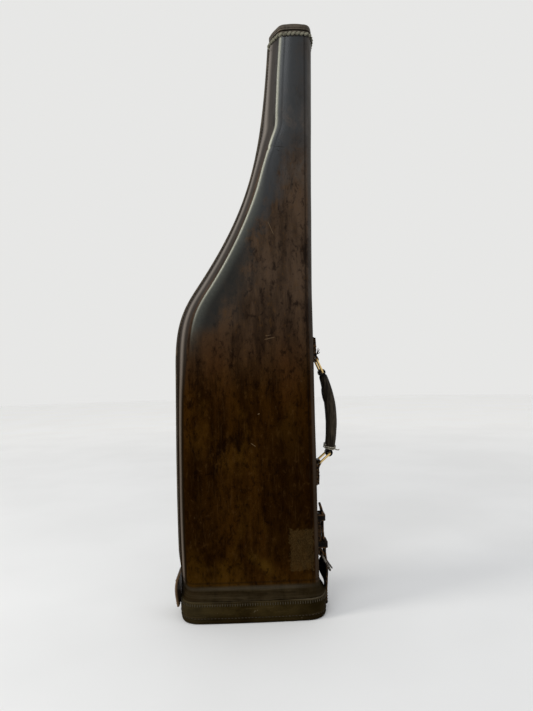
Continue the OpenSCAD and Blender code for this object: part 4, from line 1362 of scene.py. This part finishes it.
def rivet_heads():
    """Domed heads: a quarter round spun about X, with the shank behind."""
    turn = quarter_turn(8)
    radius = np.concatenate([[RIVET_SHANK_R, RIVET_SHANK_R], RIVET_HEAD_R * np.cos(turn)])[:, None]
    dome = CHAPE_FACE_X + RIVET_HEAD_T * (0.25 + 0.75 * np.sin(turn))
    out = np.concatenate([[CHAPE_BACK_X, CHAPE_FACE_X], dome])[:, None]
    spin = full_turn(24)
    skin = Skin()
    for rise in RIVET_RISES:
        skin.tube(points(out, radius * np.cos(spin), BUCKLE_Z + rise + radius * np.sin(spin)))
    return skin


dressed(rivet_heads().made("buckle_rivet_heads", BRASS), "shell", "brass", "buckle_rivets")


def chape_path(length):
    """Path up the back layer, round the bar and up the front layer, with the bar at the origin."""
    back = points(-CHAPE_RING_R, run(length, 0, 14)[:-1])
    turn = np.radians(run(180, 375, 30))
    round_bar = CHAPE_RING_R * points(np.cos(turn), np.sin(turn))
    front_x = CHAPE_T - CHAPE_RING_R
    leave = round_bar[-1]
    lean_in = curve([leave, leave + [-0.4, 1.6], [front_x, 5.0], [front_x, 9.0]], 9)
    front = points(front_x, run(9.0, length - 1.0, 14))
    return np.concatenate([back, round_bar[:-1], lean_in[:-1], front])


def chape(bar, length, width, up):
    """Strip on the chape's path that narrows to a blunt point, and a row of stitches up each side."""
    path = chape_path(length)
    tip = np.clip((path[:, 1] - (length - CHAPE_SKIVE)) / CHAPE_SKIVE, 0, 1)
    skin = Skin().tube(strip(path * [1, up] + bar, width * (1 - 0.45 * tip), CHAPE_T), strip_edge_mark())
    line_x = bar[0] + 1.5 * CHAPE_T - CHAPE_RING_R
    line_z = bar[1] + up * run(11.0, length - CHAPE_SKIVE - 1, 30)
    threads = Skin()
    for y in (CHAPE_ROW_IN - width / 2, width / 2 - CHAPE_ROW_IN):
        threads.sew(*evenly(points(line_x, y, line_z), CHAPE_PITCH), X_WAY, *CHAPE_STITCH)
    return skin, threads


chapes = (("handle_chape_upper", bar_upper, HANDLE_CHAPE_LEN, HANDLE_CHAPE_W, 1),
          ("handle_chape_lower", bar_lower, HANDLE_CHAPE_LEN, HANDLE_CHAPE_W, -1),
          ("buckle_chape", buckle_bar, BUCKLE_CHAPE_LEN, STRAP_W, 1))
for node, bar, length, width, up in chapes:
    skin, threads = chape(bar, length, width, up)
    dressed(skin.made(node + "_strip", STRAP), "shell", "strap_leather", node)
    dressed(threads.made(node + "_stitches", SEAM_THREAD), "shell", "thread")


# Closing strap and its keepers
STRAP_ROOT_Z = 8.0
TIP_RUN = 14.0
TIP_DIP = 3.0
HOLE_R = 1.6
HOLE_DEEP = 1.1
HOLE_PITCH = 18
STRAP_COLUMNS = 25
strap_lid_x = LID_W / 2 + SEAT_GAP + STRAP_T / 2
strap_fold_x = BAR_X + FOLD_R + 1.3 * SEAT_GAP + STRAP_T / 2
strap_flat_x = CHAPE_FACE_X + RIVET_HEAD_T + SEAT_GAP + STRAP_T / 2
strap_free_x = free_bar[0] - WIRE_R - 2 * SEAT_GAP - STRAP_T / 2


def strap_holes(y, z):
    """Dishes on both faces of the strap: full at the middle of each hole and gone 1.6 radii away."""
    holes = [BUCKLE_Z - 9.3] + [BUCKLE_Z + 1.5 + HOLE_PITCH * k for k in (1, 2, 3)]
    return reduce(np.maximum, [np.clip(1.6 - np.hypot(y, z - hole) / HOLE_R, 0, 1) for hole in holes])


def closing_strap():
    """Strap with a rounded point, dished at its holes; its back edge is twisted in where it hangs slack."""
    guides = [[strap_lid_x, 0], [strap_lid_x, STRAP_ROOT_Z], [strap_lid_x, LID_H - 6],
              [strap_free_x, free_bar[1]], [strap_fold_x, BUCKLE_Z],
              [strap_fold_x - SEAT_GAP, BUCKLE_Z + 10], [strap_flat_x, BUCKLE_Z + 30],
              [strap_flat_x, STRAP_TIP_Z - TIP_RUN],
              [strap_flat_x - TIP_DIP, STRAP_TIP_Z], [strap_flat_x - 2 * TIP_DIP, STRAP_TIP_Z + TIP_RUN]]
    path = smooth_through(guides, 34)
    shoulder = STRAP_TIP_Z - 0.7 * STRAP_W
    tip = np.clip((path[:, 1] - shoulder) / (STRAP_TIP_Z - shoulder), 0, 1)
    width = np.maximum(STRAP_W * np.sqrt(1 - tip**2), STRAP_T * 1.05)
    grid = strip(path, width, STRAP_T, cols=STRAP_COLUMNS)
    y, z = grid[..., 1], grid[..., 2]
    slack = climb(z, LID_H + 1, 20) * climb(z, BUCKLE_Z - 2, -14)
    faces = np.sign(strip_section(STRAP_COLUMNS)[:, 0])
    grid[..., 0] -= STRAP_TWIST * slack * climb(y, -4, STRAP_W / 2 + 4)
    grid[..., 0] -= HOLE_DEEP * strap_holes(y, z) * faces
    return Skin().tube(grid, strip_edge_mark(STRAP_COLUMNS))


dressed(closing_strap().made("closing_strap_leather", STRAP), "lid", "strap_leather", "closing_strap")


def strap_root_rows():
    """Two upright rows of five stitches that hold the strap to the lid."""
    rows = Skin()
    for y in (-7.0, 7.0):
        rows.sew(points(strap_lid_x + STRAP_T / 2, y, run(10, 25, 5)), Z_WAY, X_WAY, *STRAP_ROOT_STITCH)
    return rows


dressed(strap_root_rows().made("strap_root_stitches", SEAM_THREAD), "lid", "thread")


def keeper(z, strap_x):
    """Loop of leather over the strap, with quarter rounds at its corners and both feet on the spine."""
    top = strap_x + STRAP_T / 2 + SEAT_GAP + KEEPER_T / 2
    side = STRAP_W / 2 + 2 * SEAT_GAP + KEEPER_T / 2
    bend = 2.2
    turn = quarter_turn(8)
    first = points(top - bend + bend * np.sin(turn), bend - side - bend * np.cos(turn))
    second = points(top - bend + bend * np.cos(turn), side - bend + bend * np.sin(turn))
    legs = run(SPINE_X + SEWN_GAP, top - bend, 6)[:-1]
    path = np.concatenate([points(legs, -side), first, second, points(legs[::-1], side)])
    grid = strip(path, KEEPER_H, KEEPER_T, plane="xy")
    grid[..., 2] += z + KEEPER_H / 2
    return Skin().tube(grid, strip_edge_mark())


for node, z, strap_x in (("strap_keeper_lower", BUCKLE_Z + 8, strap_fold_x),
                         ("strap_keeper_upper", STRAP_TIP_Z - TIP_RUN - KEEPER_H, strap_flat_x)):
    dressed(keeper(z, strap_x).made(node + "_loop", STRAP), "shell", "strap_leather", node)


# Handle grip
GRIP_BARE = 4.0
STRING_R = 0.75
STRING_ROUNDS = 2.6
STRING_FROM, STRING_TO = 5.5, 11.5
FLAP_PLACE = spot(103, 294)
FLAP_HALF_LEN = 10.5
FLAP_STAND = 1.7
END_WRAP_R, END_WRAP_W = 5.2, 15.2


def grip_place(angle, off, y):
    """Points at angles along the grip's arch, off it outwards by a distance, and at y across."""
    return off_bar(arch_centre, (np.cos(angle), np.sin(angle)), arch_r + off, y)


def handle_grip():
    """Oval that swells to the middle of the arch, flatter inside, with wrinkles that run its length."""
    bare = GRIP_BARE / arch_r
    u = run(0, 1, 90)[:, None]
    angle = blend(arch_from + bare, arch_to - bare, u)
    swell = np.sin(np.pi * u)
    end = np.minimum(u, 1 - u) * GRIP_LEN
    close = 0.82 + 0.18 * np.sqrt(1 - (1 - np.clip(end / 4.5, 0, 1)) ** 2)
    turn = full_turn(64)
    from_seam = np.abs(turn - np.pi)
    thick = blend(GRIP_END_T + 3.2 * (1 - u) ** 2, GRIP_MID_T, swell) / 2
    wide = blend(GRIP_END_W, GRIP_MID_W, swell) / 2
    wrinkle = 0.16 * np.sin(15 * turn + 2.2 * np.sin(9 * u)) + 0.10 * np.sin(31 * turn - 7 * u) - 0.25
    flat_in = 1 - 0.10 * np.clip(-np.cos(turn), 0, 1) ** 2
    seam = 0.8 * bump_at(from_seam, 0, 0.09)
    off = (thick * flat_in + wrinkle - seam) * np.cos(turn) * close
    y = (wide + wrinkle) * np.sin(turn) * close
    # Painted shade at the ends, where the grip goes into its wraps, and along the seam
    dark = np.clip(bump_at(end, 0, 4) + 0.8 * bump_at(from_seam, 0, 0.12), 0, 1)
    return Skin().tube(grip_place(angle, off, y), dark)


dressed(handle_grip().made("handle_grip_leather", GRIP), "grip", "strap_leather", "handle_grip")


def grip_binding():
    """Pale string: a slanted coil round the lower end of the grip, and one loose end along a cubic."""
    u = run(0, 1, 120)
    turn = 2 * np.pi * STRING_ROUNDS * u
    angle = arch_from + (blend(STRING_FROM, STRING_TO, u) + 1.5 * np.sin(turn)) / arch_r
    path = grip_place(angle, (GRIP_END_T / 2 + 2.1) * np.cos(turn), (GRIP_END_W / 2 + 1.4) * np.sin(turn))
    way = headings(path)
    along = points(-np.sin(angle), 0.0, np.cos(angle))
    across = unit(np.cross(way, np.cross(along, way)))
    skin = Skin().tube(wire_along(path, across, STRING_R, sides=8))
    start = path[0]
    tail = curve([start, start + [3.0, -0.5, -0.5], start + [5.0, -2.0, -2.5], start + [5.5, -3.0, 0.5]], 14)
    return skin.tube(wire_along(tail, Y_WAY, STRING_R + 0.05, sides=8))


dressed(grip_binding().made("grip_binding_string", STRING), "grip", "thread")


def grip_flap():
    """Torn edge of the grip's cover: a low lobe that stands off the inner side, highest at its middle."""
    angle = arch_angle(FLAP_PLACE) + run(-FLAP_HALF_LEN, FLAP_HALF_LEN, 20)[:, None] / arch_r
    stand = FLAP_STAND * np.sqrt(np.sin(run(0.05, np.pi - 0.05, 20)))[:, None]
    root = 1.4 - GRIP_MID_T / 2
    section_off = np.array([0.0, 1.0, 1.15, 1.0, 0.0])
    section_y = np.array([-1.0, -0.8, 0.0, 0.8, 1.0])
    # The flap is coloured wholly in the grip's painted shade tone
    return Skin().tube(grip_place(angle, root - stand * section_off, 1.3 * section_y - 4.0), 1.0)


dressed(grip_flap().made("grip_cover_flap", GRIP), "grip", "strap_leather")

end_wraps = Skin()
for eye in (eye_upper, eye_lower):
    end_wraps.ring(eye_ring(eye, WIRE_R + 0.5, END_WRAP_R, END_WRAP_W))
dressed(end_wraps.made("grip_end_wraps", STRAP), "grip", "strap_leather")


def frayed_ends():
    """Three thread ends that stand out of the upper chape: wires along cubics that thin to the tip."""
    skin = Skin()
    root = np.array([CHAPE_FACE_X, -5.0, HANDLE_TOP_Z + 7])
    radius = FRAY_R * np.sqrt(run(1, 0.1, 10))
    for reach_x, reach_z, droop in ((4.5, 7.5, 1.0), (3.0, 9.5, 0.4), (5.0, 3.5, 1.8)):
        tip = root + [reach_x, -2.0, reach_z]
        path = curve([root, root + [2.0, 0.0, droop], tip - [0.6, 0.0, 2.5], tip], 10)
        skin.tube(wire_along(path, Y_WAY, radius, sides=6))
    return skin


dressed(frayed_ends().made("handle_chape_upper_frays", STRAP), "shell", "thread")


# Inside: lining, pads, lip and divider
COARSE = body_stations(*LINING_ROWS)
lining_outside = whole_ring(narrowed(COARSE, LINING_IN))
lining = Skin().wall(lining_outside, whole_ring(narrowed(COARSE, LINING_IN + LINING_T)))
lining_piece = dressed(lining.made("body_lining_baize", BAIZE), "shell", "baize", "body_lining")


def mouth_lip():
    """Leather lip: straight inside the lid, then out along the flare that it is sewn to."""
    low = narrowed(lid_stations(run(LID_H - LIP_DROP, LID_H, 7)), LID_WALL_T + LIP_CLEAR)
    flare = flare_stations(FLARE_ROWS)
    seat = narrowed(flare[flare[:, HEIGHT] > MOUTH_Z + 5], LINING_IN)
    levels = np.concatenate([low, seat])
    return Skin().wall(whole_ring(levels), whole_ring(narrowed(levels, LIP_T)))


dressed(mouth_lip().made("mouth_lip_leather", STRAP), "shell", "strap_leather", "mouth_lip")


def pad(ring, base, top, crown):
    """Pad over an outline: straight below, its edge rounded, its top crowned by the square of the way in."""
    share = np.concatenate([[0.0, 0.0, 0.0, 0.02, 0.07], run(0.12, 0.92, 12)])
    edge = np.concatenate([[0.0, 0.0, 0.75, 0.95, 1.0], np.ones(12)])
    inward = ring.mean(0) - ring
    grid = ring + inward * share[:, None, None]
    grid[0] = ring + inward * 0.9
    rise = crown * (1 - (1 - share) ** 2)
    grid[..., 2] = (base + (top - base) * edge + np.where(edge > 0.9, rise, 0))[:, None]
    return Skin().tube(grid)


LID_PAD_CROWN = 0.9
NOSE_PAD_CROWN = 1.5
lid_outline = lid_rings([LID_WALL_T + SEAT_GAP + 0.2], [SOLE_T])[0]
lid_pad = pad(lid_outline, SOLE_T + 0.05, SOLE_T + LID_PAD_T - LID_PAD_CROWN, LID_PAD_CROWN)
lid_pad_piece = dressed(lid_pad.made("lid_pad_baize", BAIZE), "lid", "baize", "lid_pad")
nose_outline = nose_rings([LINING_IN + SEWN_GAP + LINING_T + 1], [NOSE_Z])[0]
nose_pad = pad(nose_outline, NOSE_Z - 0.1, NOSE_Z - NOSE_PAD_T + NOSE_PAD_CROWN, -NOSE_PAD_CROWN)
nose_pad_piece = dressed(nose_pad.made("nose_pad_felt", BAIZE), "shell", "baize", "nose_pad")


def divider_cover():
    """Baize on both faces of the divider board, as wide as the lined body is there at each height."""
    s = COARSE[(COARSE[:, HEIGHT] > FLARE_Z + 6) & (COARSE[:, HEIGHT] < LEAN_FROM_Z)]
    from_x = s[:, LEFT] + s[:, DRAFT] + s[:, ROLL]
    to_x = s[:, RIGHT] - SPINE_DRAFT - s[:, ROLL]
    u = (BOARD_X - from_x) / (to_x - from_x)
    half = s[:, HALF_DEPTH] - LINING_IN - LINING_T - 2 * SEAT_GAP + FACE_CROWN * 4 * u * (1 - u)
    skin = Skin()
    for side in (-1, 1):
        x = BOARD_X + side * (BOARD_T + BOARD_COVER_T) / 2
        skin.tube(strip(points(x, s[:, HEIGHT]), 2 * half, BOARD_COVER_T))
    return skin


cover_piece = dressed(divider_cover().made("divider_cover_baize", BAIZE), "shell", "baize", "divider_cover")

for node, finish in (("divider_board", BOARD), ("handle_core", STEEL)):
    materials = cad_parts[node].data.materials
    materials.clear()
    materials.append(finish.material)

# Floor, background and lights
FLOOR_R = 7000
FLOOR_Z = -0.05


def add_floor():
    """Wide round pale floor: a disc of rings that lie closer together near the middle, as squares do."""
    far = FLOOR_R * run(0, 1, 40)[:, None] ** 2
    turn = full_turn(96)
    floor = Finish("pale_floor", Specular_IOR_Level=0.2, Emission_Strength=1.0)
    cloud = floor.noise((3, 3, 3), detail=3)
    colour = floor.mix(cloud.rise(0.3, 0.7), (0.78, 0.775, 0.76), (0.82, 0.815, 0.80))
    along, across, _ = floor.axes()
    distance = (along * along + across * across).root().rise(0.2, 3.2)
    glow = floor.mix(distance * floor.seen(), (0.0, 0.0, 0.0), (0.195, 0.190, 0.175))
    floor.set(Base_Color=colour, Roughness=0.6 + 0.1 * cloud, Emission_Color=glow)
    disc = points(far * np.cos(turn), far * np.sin(turn), FLOOR_Z)
    Skin().add(disc, wrap_cols=True).made("floor", floor)


def add_light(name, place, target, size, watts, colour):
    """Oblong light at a place, turned to face a target; sizes in metres."""
    data = bpy.data.lights.new(name, "AREA")
    data.shape = "RECTANGLE"
    data.size, data.size_y = size
    data.energy = watts
    data.color = colour
    light = bpy.data.objects.new(name, data)
    light.location = place
    light.rotation_euler = (Vector(target) - Vector(place)).to_track_quat("-Z", "Y").to_euler()
    bpy.context.scene.collection.objects.link(light)


def add_background():
    """Pale to the camera, in metal and through glass, and a plain soft light to everything else."""
    world = bpy.data.worlds.new("studio")
    bpy.context.scene.world = world
    sky = Nodes(world, "Background")
    sky.set(Color=sky.mix(sky.seen(), (0.68, 0.69, 0.71), (0.80, 0.80, 0.79)))


add_floor()
add_background()
add_light("window_left", (-1.7, -0.55, 1.50), (0, 0, 0.50), (0.55, 1.0), 16, (1.0, 0.98, 0.93))
add_light("ceiling_front", (-0.9, -1.9, 2.6), (0, 0, 0.5), (1.6, 1.2), 22, (0.92, 0.96, 1.0))
add_light("fill_right", (1.9, -1.2, 1.0), (0, 0, 0.4), (1.0, 1.2), 4, (0.95, 0.97, 1.0))

bpy.context.scene.view_settings.view_transform = "Standard"
